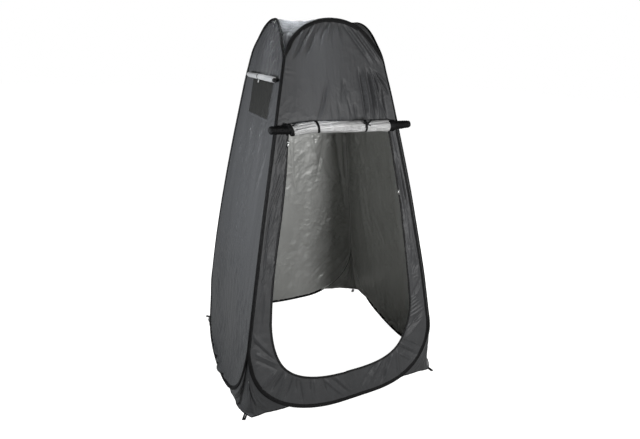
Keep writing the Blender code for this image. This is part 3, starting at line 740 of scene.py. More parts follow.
# Door surround. One band of cloth in three parts, a jamb on each side and a deep sill below, sewn to
# the loop's sleeve outside and to the door's zip inside; it wrinkles along the jambs and across the sill.
DOOR_TOP_HALF = 0.262
DOOR_WIDE_HALF = 0.385
DOOR_WIDE_Z = 0.50
DOOR_BOTTOM_Z = 0.163
SILL_TOP_Z = 0.36
BAND_CELLS = (300, 420, 36)          # along a jamb, along the sill and across the band
LAP = 0.0004                         # how far a part's last row lies under the next part
SILL_FOLDS = (                       # start, end, bow, half width and rise, in mm
    (-490, 480, -395, 345, 0, 9, 4.5), (-493, 445, -390, 325, 0, 7, -4.0),
    (-470, 370, -365, 292, 0, 8, 4.5), (-480, 345, -380, 272, 0, 7, -3.2),
    (-385, 258, -455, 185, 0, 7, 4.0), (-345, 248, -420, 158, 0, 7, -4.0),
    (-332, 230, -388, 118, 0, 7, 4.0), (-300, 205, -350, 100, 0, 6, -3.4),
    (-281, 195, -283, 130, 0, 6, -3.0), (-264, 182, -250, 60, 0, 7, -3.6),
    (-206, 168, -209, 105, 0, 5, -3.2), (-184, 166, -180, 95, 0, 5, 3.0),
    (-138, 158, -118, 85, 0, 5, -3.0), (-125, 155, -22, 35, 0, 7, 4.2),
    (-95, 158, 0, 50, 0, 6, -3.0), (-63, 152, 18, 50, 0, 6, 3.0),
    (195, 182, 85, 50, -12, 7, -4.4), (213, 186, 125, 55, -6, 6, 3.4),
    (230, 195, 155, 50, 0, 7, -4.4), (264, 200, 195, 40, 0, 7, -4.0),
    (284, 212, 225, 65, 0, 7, 3.6), (307, 232, 312, 75, 0, 9, 5.2),
    (328, 285, 462, 208, 0, 8, -4.4), (330, 262, 440, 185, 0, 7, 3.4),
    (320, 240, 430, 170, 0, 7, -3.4), (326, 200, 400, 150, 0, 7, 3.4),
    (365, 288, 470, 385, 0, 7, 3.6), (372, 330, 482, 440, 0, 8, -4.0),
)
JAMB_FOLDS = (                       # fine pulls low on the right jamb, and the steeper folds above them
    (362, 343, 478, 397, 0, 5.0, 4.6), (380, 400, 478, 444, 0, 4.4, 4.2),
    (376, 420, 462, 460, 0, 4.4, 4.0), (378, 446, 448, 482, 0, 4.2, 4.0),
    (382, 468, 442, 503, 0, 4.2, 3.8), (384, 490, 436, 522, 0, 4.0, 3.6),
    (388, 511, 430, 540, 0, 4.0, 3.4), (398, 530, 458, 645, 0, 7.0, -6.2),
    (418, 520, 468, 630, 0, 6.0, 5.0), (358, 800, 386, 700, 0, 7.0, 5.0),
    (412, 680, 446, 735, 0, 7.0, -6.0), (436, 690, 405, 1020, 0, 11.0, -7.5),
    (378, 740, 350, 1100, 4, 8.0, 4.5),
)
WRINKLES = ((66, 0.0140, 0.0050, 531), (74, 0.0095, 0.0030, 533))    # slope in degrees, spacing, rise, seed
WRINKLED = (0.62, 1.50)              # heights up the slope between which they lie
DOOR_HEIGHTS = (0.16, 0.22, 0.28, 0.33, 0.38, 0.45, 0.55, 0.62, 0.73, 0.84, 0.95, 1.08, 1.21, 1.41)
DOOR_PULLS = {                       # how far its zipped edge is drawn outwards at those heights, in mm
    -1: (2, 4, 0, -4, 0, 4, 9, 12, 10, 5, -3, -9, -11, -4),
    1: (2, -3, -17, -22, -9, -5, -7, -5, -2, 0, 1, 3, -2, -1),
}


def pleats(u, v, angle, spacing, seed):
    """Height of near-parallel wrinkles that run at an angle from level: round ridges with sharp
    valleys, unevenly spaced, that come and go along their way."""
    square = (v * math.cos(angle) - u * math.sin(angle)) / spacing
    run = (u * math.cos(angle) + v * math.sin(angle)) / spacing
    phase = square + 0.8 * swell(square * 0.4, run * 0.10, seed)
    here = ramp(0.35 + 0.9 * swell(square * 0.3, run * 0.18, seed + 1))
    return (np.abs(np.sin(math.pi * phase)) ** 0.8 - 0.6) * here


def door_half(side):
    """One half of the doorway's edge in (u, v), from the middle of the sill up to the hem: a cubic arc
    and a straight slope, drawn out or in by the cloth's pull; the left half is given mirrored."""
    t = np.linspace(0, 1, 120)
    wide = np.array([DOOR_WIDE_HALF, DOOR_WIDE_Z])
    low, bend = np.array([0, DOOR_BOTTOM_Z]), np.array([0.33, DOOR_BOTTOM_Z])
    slope = wide + (np.array([DOOR_TOP_HALF, HEADER_HEM_Z]) - wide) * t[1:, None]
    path = np.concatenate([bezier(low, bend, np.array([0.405, 0.28]), wide, t), slope])
    pull = evened(path[:, 1], DOOR_HEIGHTS, DOOR_PULLS[side]) * 0.001
    return (path - across(path) * pull[:, None]) / [1, COS_LEAN]


def stretch_of(path, low, high, count):
    """The part of a rising path between two heights, evenly spaced."""
    v = np.linspace(max(low, path[0, 1]), high, 500)
    part = np.stack([np.interp(v, path[:, 1], path[:, 0]), v], -1)
    if low < path[0, 1]:
        part = np.concatenate([path[path[:, 1] <= part[0, 1]], part])
    return evenly(part, count)


def band_edge(half):
    """Points of one half of the band's edge, evenly along the sill and evenly up the jamb."""
    sill_top = SILL_TOP_Z / COS_LEAN
    jamb = stretch_of(half, sill_top, hem, BAND_CELLS[0] + 1)
    low = evenly(np.concatenate([half[half[:, 1] < sill_top], jamb[:1]]), BAND_CELLS[1] // 2 + 1)
    return np.concatenate([low, jamb[1:]])


DOOR_EDGE = {side: door_half(side) for side in DOOR_PULLS}
inner, outer = (np.concatenate([band_edge(left)[:0:-1] * [-1, 1], band_edge(right)]) for left, right in
                ((DOOR_EDGE[-1], DOOR_EDGE[1]), (CLOTH_HALF, CLOTH_HALF)))
share = np.linspace(0, 1, BAND_CELLS[2] + 1)[None, :, None]
BAND = inner[:, None] * (1 - share) + outer[:, None] * share
u, v = np.moveaxis(BAND, -1, 0)
distance, along = from_binding("front", BAND)
from_zip, zip_along = from_edge(BAND, evenly(inner, 241))
on_jamb = ramp(v - 0.42, 0.25)
lean_u = u + 0.17 * np.sign(u) * (v - 0.5)
jamb = 0.0040 * (1 - 1.8 * np.abs(swell(lean_u * 30, v * 4.5, 501)))
for angle, spacing, rise, seed in WRINKLES:
    wrinkled = rise * pleats(u, v, math.radians(angle), spacing, seed)
    jamb += wrinkled * ramp(v - WRINKLED[0], 0.1) * ramp(WRINKLED[1] - v, 0.1)
jamb -= 0.0040 * np.exp(-((distance - 0.010) / 0.009) ** 2) * ramp(v - 0.75, 0.2)
pulls = ridges(u, v, JAMB_FOLDS)
jamb += pulls
sill = 1.7 * ridges(u, v, SILL_FOLDS) + 0.0012 * swell(zip_along * 30, from_zip * 10, 503) + pulls
sill += 0.0024 * pleats(u, v, 0.62, 0.0125, 541) * ramp(u - 0.30, 0.05)
sewn = gathers(distance, along, 0.021, 0.0022, 0.05, 0.5, 511) * 0.7
sewn += gathers(from_zip, zip_along, 0.017, 0.0020, 0.04, 0.4, 521) * 0.7
n = (jamb * on_jamb + sill * (1 - on_jamb)) * ramp(distance, 0.016)
n = (n + sewn) * ramp(distance, 0.012) * ramp(0.05 + from_zip / 0.03)
n *= np.clip((hem - v) / 0.05, 0.1, 1)
shape = settled(np.stack([u, v, n], -1), 60)
split = (0, BAND_CELLS[0], BAND_CELLS[0] + BAND_CELLS[1], 2 * BAND_CELLS[0] + BAND_CELLS[1])
for name, node, size, area, first, last in (
        ("left_jamb", "front_left_jamb", (0.245, 1.075), 0.082, split[0], split[1] + 1),
        ("sill", "front_sill_panel", (1.015, 0.360), 0.179, split[1] - 1, split[2] + 1),
        ("right_jamb", "front_right_jamb", (0.245, 1.075), 0.082, split[2] - 1, split[3])):
    part = shape[first:last + 1].copy()
    if first > 0:
        part[0, :, 2] -= LAP
    if last < split[3]:
        part[-1, :, 2] -= LAP
    piece = cloth_piece(name, BAND[first:last + 1], on_wall("front", *np.moveaxis(part, -1, 0)), node)

# Door zip. A black coil zip sewn round the doorway on a folded tape, open all the way, with its two
# metal sliders parked on it; the door's own half of the zip is rolled up with the door.
ZIP_RADIUS = 0.0021
ZIP_DROP = 0.012
ZIP_GAP = math.radians(22)           # between the coil's back and each side of the tape
TAPE_REACH = 0.0075
ZIP_CLOTH = cloth_material("zip tape", ((0.005, 0.005, 0.0055), (0.009, 0.009, 0.0095)), 0.55, 0.0003, 60,
                           (30, 200), threads=1400, weave=0.0003, specular=0.3)
add_stitches(ZIP_CLOTH, (0.0016,), 0.0030, (0.05, 0.05, 0.052))
left, right = (stretch_of(DOOR_EDGE[side], -1.0, hem - ZIP_DROP, 240) for side in (-1, 1))
path = evenly(np.concatenate([left[:0:-1] * [-1, 1], right]), 701)
aside = -across(path)
s = np.linspace(0, 1, len(path))[:, None] * 3.1
angle = np.linspace(ZIP_GAP, math.tau - ZIP_GAP, 12)
coil = ZIP_RADIUS * (1 + 0.10 * np.sin(s * 900) * (np.abs(np.sin(angle)) > 0.3))
reach = TAPE_REACH + 0.0004 * swell(s * 30, 0, 601)
flat = np.full_like(reach, 0.0008)
a = np.concatenate([-0.0024 + coil * np.cos(angle), reach * 0.5, reach, reach + 0.0005, reach,
                    reach * 0.5], 1)
n = np.concatenate([coil * np.sin(angle), -flat, -flat, flat * 0, flat, flat], 1)[:, ::-1]
a = a[:, ::-1]
points = on_wall("front", path[:, :1] + aside[:, :1] * a, path[:, 1:] + aside[:, 1:] * a, n)
spread = np.stack(np.broadcast_arrays(s, np.concatenate([reach - a, reach - a[:, :1]], 1)), -1)
sewn_piece("door_zip_tape", [patch(points, spread, wrap_columns=True, capped=True)], "sleeve_cloth",
           ZIP_CLOTH, "front_door_zip")

SLIDERS = {"left": (-1, 1.345), "right": (1, 1.085)}
SLIDER_HEAD = (0.0090, 0.0130, 0.0050)       # width, length and thickness
PULL_TAB = (0.0062, 0.0200, 0.0014)


def metal_material(name, colour, roughness, wear):
    """Bare cast metal: its colour and roughness broken by small smudges and fine scratches."""
    mat, tree, shader = new_material(name)
    place = add_node(tree, "ShaderNodeTexCoord").outputs["Object"]
    smudge = noise(tree, place, 220.0, 4.0)[0]
    fill(tree, shader, {
        "Base Color": mixed(tree, smudge, [c * wear for c in colour], colour),
        "Metallic": 1.0,
        "Roughness": fitted(tree, smudge, 0.0, 1.0, roughness - 0.1, roughness + 0.12),
        "Normal": bumped(tree, noise(tree, place, 1500.0, 2.0)[0], 0.3, 0.0001),
    })
    return mat


def drawn_in(points, shares=(0.3, 0.02)):
    """The same rings with both ends rounded off: the first and last ring are repeated, drawn in
    towards their middles by the given shares."""
    for share in shares:
        ends = [ring.mean(1, keepdims=True) + (ring - ring.mean(1, keepdims=True)) * share
                for ring in (points[:1], points[-1:])]
        points = np.concatenate([ends[0], points, ends[1]])
    return points


def closed_tube(points):
    """A patch from rings of points: the ends drawn in and capped, with UVs in metres along it and
    round it."""
    points = drawn_in(points)
    ring = points[len(points) // 2]
    girth = walked(np.concatenate([ring, ring[:1]]))
    spread = np.stack(np.broadcast_arrays(walked(points.mean(1))[:, None], girth[None]), -1)
    return patch(points, spread, wrap_columns=True, capped=True)


def section_sweep(path, sideways, upward, section):
    """A closed section carried along a path: each point of the section is so far sideways and so far
    upward of the path's own directions there."""
    return closed_tube(path[:, None] + sideways[:, None] * section[None, :, :1]
                       + upward[:, None] * section[None, :, 1:])


def rounded_section(width, thick, corner, steps=3):
    """A rounded rectangle as a closed section, counter-clockwise, centred on the path."""
    corner = min(corner, width / 2, thick / 2)
    turn = np.linspace(0, math.pi / 2, steps)
    points = []
    for quarter, (x, y) in enumerate(((1, 1), (-1, 1), (-1, -1), (1, -1))):
        angle = turn + quarter * math.pi / 2
        points.append(np.stack([x * (width / 2 - corner) + corner * np.cos(angle),
                                y * (thick / 2 - corner) + corner * np.sin(angle)], -1))
    return np.concatenate(points)


def wall_frame(wall):
    """The directions of a wall: u, v and n as rows."""
    return on_wall(wall, *np.eye(3)) - on_wall(wall, 0.0, 0.0, 0.0)


ZIP_METAL = metal_material("zip metal", (0.78, 0.78, 0.77), 0.28, 0.62)
u_way, v_way, n_way = wall_frame("front")
lift = ZIP_RADIUS + 0.0003
width, length, thick = SLIDER_HEAD
top = lift + thick
for side_name, (sign, z) in SLIDERS.items():
    v0 = z / COS_LEAN
    u0 = sign * (np.interp(v0, DOOR_EDGE[sign][:, 1], DOOR_EDGE[sign][:, 0]) - ZIP_RADIUS - 0.0003)
    t = np.linspace(0, 1, 9)[:, None]
    flare = 1 - 0.25 * np.sin(math.pi * t) ** 2 - 0.12 * t
    x, y = rounded_section(1.0, 1.0, 0.28).T[:, None]
    head = on_wall("front", u0 + x * (width * flare), v0 + length * (0.5 - t) + 0 * x,
                   lift + thick / 2 + y * thick * (1 - 0.3 * np.abs(2 * t - 1) ** 3))
    bow = np.linspace(0, math.pi, 11)
    bridge = on_wall("front", u0 + 0 * bow, v0 + 0.0045 * np.cos(bow), top - 0.0008 + 0.0030 * np.sin(bow))
    radial = np.cos(bow)[:, None] * v_way + np.sin(bow)[:, None] * n_way
    bridge = section_sweep(bridge, np.broadcast_to(u_way, bridge.shape), radial,
                           rounded_section(0.0024, 0.0012, 0.0005))
    t = np.linspace(0, 1, 15)[:, None]
    tab_width = PULL_TAB[0] / 2 * (0.62 + 0.38 * np.sin(ramp(t * 1.15) * math.pi / 2) ** 2)
    tab_width *= np.sqrt(np.clip(1 - ramp(t - 0.86, 0.15) ** 2, 0.02, 1))
    x, y = rounded_section(2.0, PULL_TAB[2], 0.0005).T[:, None]
    tab = on_wall("front", u0 + sign * 0.002 * t + x * tab_width, v0 + 0.001 - PULL_TAB[1] * t + 0 * x,
                  top + 0.0012 - 0.0030 * t ** 2 + y)
    sewn_piece(f"{side_name}_zip_slider", [closed_tube(head), bridge, closed_tube(tab)], "zip_metal",
               ZIP_METAL, f"zip_slider_{side_name}")

# Rolled door. The whole door sheet, wound up from the bottom with its lining outwards, held by two
# straps; its black-bound lower edge is wider than the roll and shows as wound rings at both ends.
ROLL_RADIUS = 0.0275
ROLL_AXIS_V = HEADER_HEM_Z / COS_LEAN
ROLL_AXIS_N = 0.001 + 0.0003 + ROLL_RADIUS
ROLL_DROOP = 0.0125
STRAP_PLACES = {"left": -0.130, "right": 0.115}
ROLL_ENDS = {        # sign, tip, edge of the lining and its slant, collar, loss of radius after it and at
    "left": (-1, 0.359, 0.2490, 0.0085, 0.013, 0.37, 0.02, 0.0),          # the tip, and the rise to the tip
    "right": (1, 0.370, 0.2430, -0.0015, 0.028, 0.24, 0.22, 0.0040),
}
ROLL_LINING = cloth_material("rolled lining", ((0.36, 0.36, 0.365), (0.49, 0.49, 0.485)), 0.44, 0.0030, 45,
                             (6, 26), metallic=0.30)


def around(wall, u, radius, angle, axis_n, axis_v):
    """Points round a level axis in front of a wall: angle 0 points outwards and a quarter turn up."""
    return on_wall(wall, u, axis_v + radius * np.sin(angle), axis_n + radius * np.cos(angle))


def folds_round(turn_x, turn_y, u, seed, around_rate, along_rate, width):
    """Sharp creases on a roll, 0 to 1: the lines where a smooth random field over the roll's surface
    crosses zero, narrow across the roll and long along it."""
    field = swell(turn_x * around_rate + u * along_rate * 0.4, turn_y * around_rate - u * along_rate, seed)
    return ramp(1 - np.abs(field) / width) ** 1.6


def rings(along, round_it):
    """Shares along a tube as a column and angles round it as a row."""
    return np.linspace(0, 1, along)[:, None], np.linspace(0, math.tau, round_it + 1)[None, :-1]


def silver_roll(wall, start, end, radius, pinches, axis_n, axis_v, seed, cells):
    """A loosely wound roll: a cylinder whose radius carries lengthwise creases, soft dents and a waist
    under each strap, with the sheet's outer edge as a small wavy step along it. Start and end are
    where it begins and ends, for each angle round it."""
    t, angle = rings(*cells)
    u = start(angle) + (end(angle) - start(angle)) * t
    turn_x, turn_y = np.cos(angle), np.sin(angle)
    slow = 0.0275 / radius
    crease = folds_round(turn_x, turn_y, u * slow, seed, 2.3, 8, 0.34)
    fine = folds_round(turn_x, turn_y, u * slow, seed + 1, 4.2, 24, 0.36)
    dent = swell(turn_x * 1.2, turn_y * 1.2 + u * 17 * slow, seed + 2)
    sag = ramp(-turn_y) * swell(u * 26 * slow, 0 * angle, seed + 4)
    r = 1.0 - 0.115 * crease - 0.070 * fine + 0.030 * dent + 0.050 * sag
    for place, depth in pinches:
        near = np.exp(-((u - place) / 0.010) ** 2)
        rays = folds_round(turn_x, turn_y, 0 * u, seed + 3, 5.0, 0, 0.35) * np.exp(-np.abs(u - place) / 0.035)
        r = r * (1 - near * 0.5) + near * 0.5 * (1 - depth / radius) - 0.07 * rays
    wavy = 0.10 * np.sin(u * 13 * slow + 1)
    winding = (angle - 0.30 - wavy - 0.05 * np.sin(u * 31 * slow)) % math.tau / math.tau
    r = radius * np.minimum(r * (0.975 + 0.045 * winding), 1.06)
    return around(wall, u, r, angle + 0 * t, axis_n, axis_v(u))


def door_axis(u):
    """The height of the rolled door's axis up the slope: level between its straps, with a slight sag,
    and hanging down past the left one."""
    return ROLL_AXIS_V - 0.0012 * np.cos(u * 6) - ROLL_DROOP * ramp(-0.118 - u, 0.13) ** 1.3


pinches = tuple((place, 0.0016) for place in STRAP_PLACES.values())
points = silver_roll("front", lambda a: -0.2490 - 0.0085 * np.sin(a), lambda a: 0.2430 - 0.0015 * np.sin(a),
                     ROLL_RADIUS, pinches, ROLL_AXIS_N, door_axis, 701, (360, 180))
sewn_piece("rolled_door", [closed_tube(points)], "silver_lining", ROLL_LINING, "door_roll")

for side_name, (sign, tip, edge, slant, collar, narrower, tapered, lifted) in ROLL_ENDS.items():
    run, angle = rings(170, 64)
    start = edge - 0.022
    length = tip - start
    x = run * length
    past = x - (edge - start) - slant * np.sin(angle)
    step = ramp(past / 0.002 + 0.5)
    after = ramp(past - collar, 0.006)
    body = 0.90 + 0.13 * step - narrower * eased(after)
    body = body - tapered * ramp(past - collar, length - 0.022 - collar)
    wound = np.abs(np.sin(math.pi * (x / 0.0125 + angle / math.tau))) ** 0.8
    r = ROLL_RADIUS * (body + 0.055 * wound * after)
    r = r * (1 + 0.025 * swell(np.cos(angle) * 2 + x * 60, np.sin(angle) * 2, 711 + sign) * step)
    r = r * np.sqrt(1 - (1 - ramp(length - x, 0.012)) ** 2 * 0.97)
    u = sign * (start + x) + 0 * angle
    points = around("front", u, r, angle + 0 * run, ROLL_AXIS_N, door_axis(u) + lifted * ramp(x - 0.05, 0.08))
    sewn_piece(f"rolled_door_{side_name}_end", [closed_tube(points)], "sleeve_cloth", SLEEVE_CLOTH,
               f"door_roll_{side_name}_end")

# Door straps. Two narrow webbing straps sewn into the header's hem go round the roll; the left one is
# pulled through slantwise, and the right one is tied in front in a small bow.
STRAP_WIDTH = 0.0115
STRAP_THICK = 0.0015
STRAP_SLANTS = {"left": 0.034, "right": 0.012}
WEBBING = cloth_material("webbing", ((0.0035, 0.0035, 0.0038), (0.0070, 0.0070, 0.0074)), 0.62, 0.0002, 60,
                         (90, 500), threads=700, weave=0.0006, specular=0.2)
KNOT_RISE = 0.009                    # of the bow's knot above the roll's axis
BOW = (      # the knot, two loops and two ends: points in mm, width, thickness and the twist at both ends
    (((-6, 1, 1), (-3, 1, 3.5), (3, 0, 3.5), (6, -1, 1)), 0.009, 0.003, (0.0, 0.0)),
    (((1, 0, 2), (13, 13, 6), (24, 22, 3), (26, 15, 0), (14, 5, 0), (1, 0, 1)), 0.0050, 0.0011, (0.4, -0.3)),
    (((-1, 0, 2), (-10, 8, 6), (-18, 11, 4), (-18, 4, 1), (-10, 0, 0), (-1, 0, 1)), 0.0050, 0.0011,
     (-0.3, 0.4)),
    (((1, -1, 2), (8, -6, 3), (17, -8, 1), (27, -13, -3)), 0.0050, 0.0011, (0.2, -0.5)),
    (((-1, -1, 2), (-5, -9, 2), (-7, -18, -3), (-9, -30, -12)), 0.0050, 0.0011, (-0.1, 0.4)),
)


def strap_start(radius, gap):
    """The angle round a roll at which a strap that lies this far off it leaves the cloth behind it."""
    return math.acos(-radius / (radius + 0.0003 + gap)) - 0.02


def strap_round(wall, place, slant, width, thick, radius, axis_n, axis_v, top, bottom, wave):
    """A strap round the front of a roll: an arc that drifts sideways by the slant from its top to its
    bottom, with a slight wave."""
    t = np.linspace(0, 1, 40)
    angle = top + (bottom - top) * t
    r = radius + thick / 2 + 0.0002 + wave * np.sin(t * 19)
    path = around(wall, place + slant * (t - 0.5), r, angle, axis_n, axis_v)
    _, v_way, n_way = wall_frame(wall)
    outward = np.cos(angle)[:, None] * n_way + np.sin(angle)[:, None] * v_way
    return section_sweep(path, np.cross(outward, tangents(path)), outward,
                         rounded_section(width, thick, thick / 2))


def ribbon(points, width, thick, twist):
    """A flat tape along a smooth curve through a few points in space: it lies square to the wall's
    outward direction, turned about its own run by the twist, which grows along it."""
    t = np.linspace(0, 1, 36)
    path = np.stack([np.interp(t, np.linspace(0, 1, len(points)), column) for column in points.T], -1)
    for _ in range(12):
        path[1:-1] = (path[:-2] + 2 * path[1:-1] + path[2:]) / 4
    run = tangents(path)
    out = unit(np.cross(run, [1.0, 0.0, 0.2]))
    side_way = np.cross(out, run)
    angle = (twist[0] + (twist[1] - twist[0]) * t)[:, None]
    return section_sweep(path, side_way * np.cos(angle) + out * np.sin(angle),
                         out * np.cos(angle) - side_way * np.sin(angle),
                         rounded_section(width, thick, thick / 2))


for side_name, place in STRAP_PLACES.items():
    parts = [strap_round("front", place, STRAP_SLANTS[side_name], STRAP_WIDTH, STRAP_THICK,
                         ROLL_RADIUS - 0.0008, ROLL_AXIS_N, ROLL_AXIS_V, strap_start(ROLL_RADIUS, 0.0016),
                         -math.radians(165), 0.00015)]
    if side_name == "right":
        knot = np.array([place, ROLL_AXIS_V + KNOT_RISE, ROLL_AXIS_N + ROLL_RADIUS])
        parts += [ribbon(on_wall("front", *(knot + np.array(points) * 0.001).T), *tape)
                  for points, *tape in BOW]
    sewn_piece(f"door_{side_name}_strap", parts, "webbing", WEBBING, f"door_strap_{side_name}")

# Windows. A net panel sewn into each side wall behind a turned-in edge; above it the window's flap is
# rolled up, lining outwards, and held by a narrow strap that ends in a small plastic toggle.
FLAP_RADIUS = 0.0135
FLAP_V = 1.615 / COS_LEAN
FLAP_N = 0.001 + 0.0003 + FLAP_RADIUS
FLAP_REACH = (-0.186, 0.240)
FLAP_TIP = 0.266
FLAP_STRAP = 0.012
FLAP_BACK = {"left": 0.0, "right": 0.030}        # how far back the flap lies on each side wall
HEM_WIDTH = 2                                    # in cells of the wall's grid
HEM_CLOTH = cloth_material("window hem", ((0.043, 0.0437, 0.0455), (0.052, 0.0528, 0.055)), 0.48, 0.0010, 60,
                           (14, 14), sheen=0.05, specular=0.28)
add_stitches(HEM_CLOTH, (0.0030, 0.0075), 0.0032, (0.12, 0.12, 0.125))


def net_material():
    """Fine knitted net: threads over diamond holes that let light through, drawn on the flat UVs."""
    mat, tree, shader = new_material("window net")
    flat = add_node(tree, "ShaderNodeUVMap", uv_map="flat").outputs[0]
    turned = add_node(tree, "ShaderNodeMapping", {"Vector": flat, "Rotation": (0, 0, math.pi / 4)}).outputs[0]
    knit = add_node(tree, "ShaderNodeGroup", {"Vector": turned, "Threads": 620}, node_tree=WEAVE)
    threads = knit.outputs[0]
    drift = noise(tree, flat, 18.0, 2.0)[0]
    fill(tree, shader, {
        "Base Color": mixed(tree, drift, (0.010, 0.010, 0.009), (0.016, 0.016, 0.0145)),
        "Roughness": 0.8,
        "Specular IOR Level": 0.3,
        "Alpha": fitted(tree, threads, 0.55, 0.75, 0.55, 1.0),
        "Normal": bumped(tree, threads, 0.6, 0.0005),
    })
    return mat


def plastic_material(name, colours, roughness):
    """Moulded plastic: slightly mottled, with a faint orange-peel surface."""
    mat, tree, shader = new_material(name)
    mottle = noise(tree, add_node(tree, "ShaderNodeTexCoord").outputs["Object"], 300.0, 3.0)[0]
    fill(tree, shader, {"Base Color": mixed(tree, mottle, *colours), "Roughness": roughness,
                        "Normal": bumped(tree, mottle, 0.2, 0.0002)})
    return mat


NET = net_material()
TOGGLE_PLASTIC = plastic_material("toggle plastic", ((0.50, 0.50, 0.48), (0.62, 0.62, 0.60)), 0.42)
window_points = tuple(slice(cells.start, cells.stop + 1) for cells in WINDOW_CELLS)
round_window = tuple(slice(cells.start - HEM_WIDTH, cells.stop + 1 + HEM_WIDTH) for cells in WINDOW_CELLS)
u, v = np.moveaxis(GRID[round_window], -1, 0)
beside = np.abs(u) - WINDOW_HALF
above = np.abs(v - sum(WINDOW_Z) / 2 / COS_LEAN) - (WINDOW_Z[1] - WINDOW_Z[0]) / 2 / COS_LEAN
hem_spread = np.stack([np.where(beside > above, v, u), np.maximum(beside, above)], -1)
hem_cells = np.ones((u.shape[0] - 1, u.shape[1] - 1), bool)
hem_cells[HEM_WIDTH:-HEM_WIDTH, HEM_WIDTH:-HEM_WIDTH] = False
for wall, forward in (("left", 1), ("right", -1)):
    back = FLAP_BACK[wall]
    strap_u = forward * (FLAP_STRAP - back)
    n_way = wall_frame(wall)[2]
    net = patch(side_cells[wall][window_points] - n_way * 0.0004, GRID[window_points])
    piece = sewn_piece(f"{wall}_window_mesh", [net], "window_net", NET, f"{wall}_window_net")
    thicken(piece, 0.0006, 0.0)

    edging = patch(side_cells[wall][round_window] + n_way * 0.0002, hem_spread, keep=hem_cells)
    piece = sewn_piece(f"{wall}_window_hem", [edging], "shell_cloth", HEM_CLOTH)
    thicken(piece, 0.0007, 1.0)

    points = silver_roll(wall, lambda a: forward * (FLAP_REACH[0] - back + 0.002 * np.sin(a)),
                         lambda a: forward * (FLAP_REACH[1] - back + 0.004 * np.sin(a)), FLAP_RADIUS,
                         ((strap_u, 0.0010),), FLAP_N, lambda u: FLAP_V + 0 * u, 801, (190, 90))
    share = np.linspace(0, 1, len(points))[:, None, None]
    middle = points.mean(1, keepdims=True)
    points = middle + (points - middle) * (1 - 0.35 * ramp(1 - share / 0.10) ** 2)
    sewn_piece(f"{wall}_rolled_flap", [closed_tube(points)], "silver_lining", ROLL_LINING,
               f"{wall}_window_flap")

    run, angle = rings(60, 40)
    start = FLAP_REACH[1] - 0.012
    x = run * (FLAP_TIP - start)
    r = 0.0124 - 0.0074 * run + 0.0008 * np.abs(np.sin(math.pi * (x / 0.0085 + angle / math.tau)))
    r = r * np.sqrt(1 - (1 - ramp(1 - run, 0.16)) ** 2 * 0.97)
    points = around(wall, forward * (start - back + x) + 0 * angle, r, angle + 0 * run, FLAP_N - 0.002 * run,
                    FLAP_V - 0.006 * run ** 1.5)
    sewn_piece(f"{wall}_rolled_flap_end", [closed_tube(points)], "sleeve_cloth", SLEEVE_CLOTH,
               f"{wall}_window_flap_end")

    top_angle = strap_start(FLAP_RADIUS, 0.0012)
    band = strap_round(wall, strap_u, 0.004 * forward, 0.0080, 0.0011, FLAP_RADIUS - 0.0002, FLAP_N, FLAP_V,
                       top_angle, -top_angle, 0.0001)
    sewn_piece(f"{wall}_flap_strap", [band], "webbing", WEBBING, f"{wall}_window_strap")

    t, angle = rings(24, 24)
    waist = 1 - 0.22 * np.exp(-((t - 0.5) / 0.14) ** 2)
    r = 0.0036 * np.sqrt(np.clip(1 - np.abs(2 * t - 1) ** 5, 0.02, 1)) * waist
    points = on_wall(wall, strap_u + r * np.cos(angle), FLAP_V - FLAP_RADIUS - 0.0006 - 0.016 * t + 0 * angle,
                     FLAP_N + r * np.sin(angle))
    sewn_piece(f"{wall}_flap_toggle", [closed_tube(points)], "toggle_plastic", TOGGLE_PLASTIC,
               f"{wall}_window_toggle")

# Roof. One square of lined cloth, sewn to the sleeves of the four top arcs with its silver side out;
# it is drawn up to each peak and down to the corners, and creases along its diagonals.
ROOF_EDGE = (0.0060, 0.0084)         # from the wire in to its edge, at the peaks and at the corners
ROOF_CELLS = 120
ROOF_SLACK = 0.0100
ROOF_CLOTH = cloth_material("silver roof", ((0.40, 0.43, 0.46), (0.47, 0.50, 0.535)), 0.40, 0.0018, 26,
                            (9, 9), metallic=0.35)
half = HALF_LOOP * [1, COS_LEAN]
arc = half[half[:, 1] >= SEAM_TOP_Z - 1e-6]
arc = evenly(np.concatenate([arc, arc[-2::-1] * [-1, 1]]), ROOF_CELLS + 1)
lift = (arc[:, 1] - SEAM_TOP_Z) / (TOP_Z - SEAM_TOP_Z)
inner_edge = BASE_HALF - LEAN * arc[:, 1] + PAIR_SHIFT - ROOF_EDGE[1] + (ROOF_EDGE[1] - ROOF_EDGE[0]) * lift
share = arc[:, 0] / arc[0, 0]
x = share[None, :] * inner_edge[:, None]
y = share[:, None] * inner_edge[None, :]
edge_gap = (1 - np.maximum(np.abs(share)[None, :], np.abs(share)[:, None])) * 0.26
z = SEAM_TOP_Z + (TOP_Z - SEAM_TOP_Z) * (1 - (1 - lift[None, :]) * (1 - lift[:, None]))
diagonal = np.minimum(np.abs(x - y), np.abs(x + y))
ridge = 0.0030 * (np.exp(-diagonal / 0.012) - 0.3) * ramp(np.hypot(x, y), 0.2)
creased = 0.0016 * (1 - 2 * np.abs(swell((x + y) * 30, (x - y) * 9, 902)))
creased = creased + 0.0005 * swell(x * 70, y * 50, 903)
slack = ROOF_SLACK * (1 - share[None, :] ** 4) * (1 - share[:, None] ** 4)
z = z + (0.0035 * swell(x * 9, y * 9, 901) + ridge + creased) * ramp(edge_gap, 0.02) - slack
points = settled(np.stack([x, y, z], -1)[:, ::-1], 50)
piece = cloth_piece("roof", np.stack([x, y], -1)[:, ::-1], points, "roof_panel", slot="silver_lining",
                    cloths=(ROOF_CLOTH, SHELL_CLOTH))

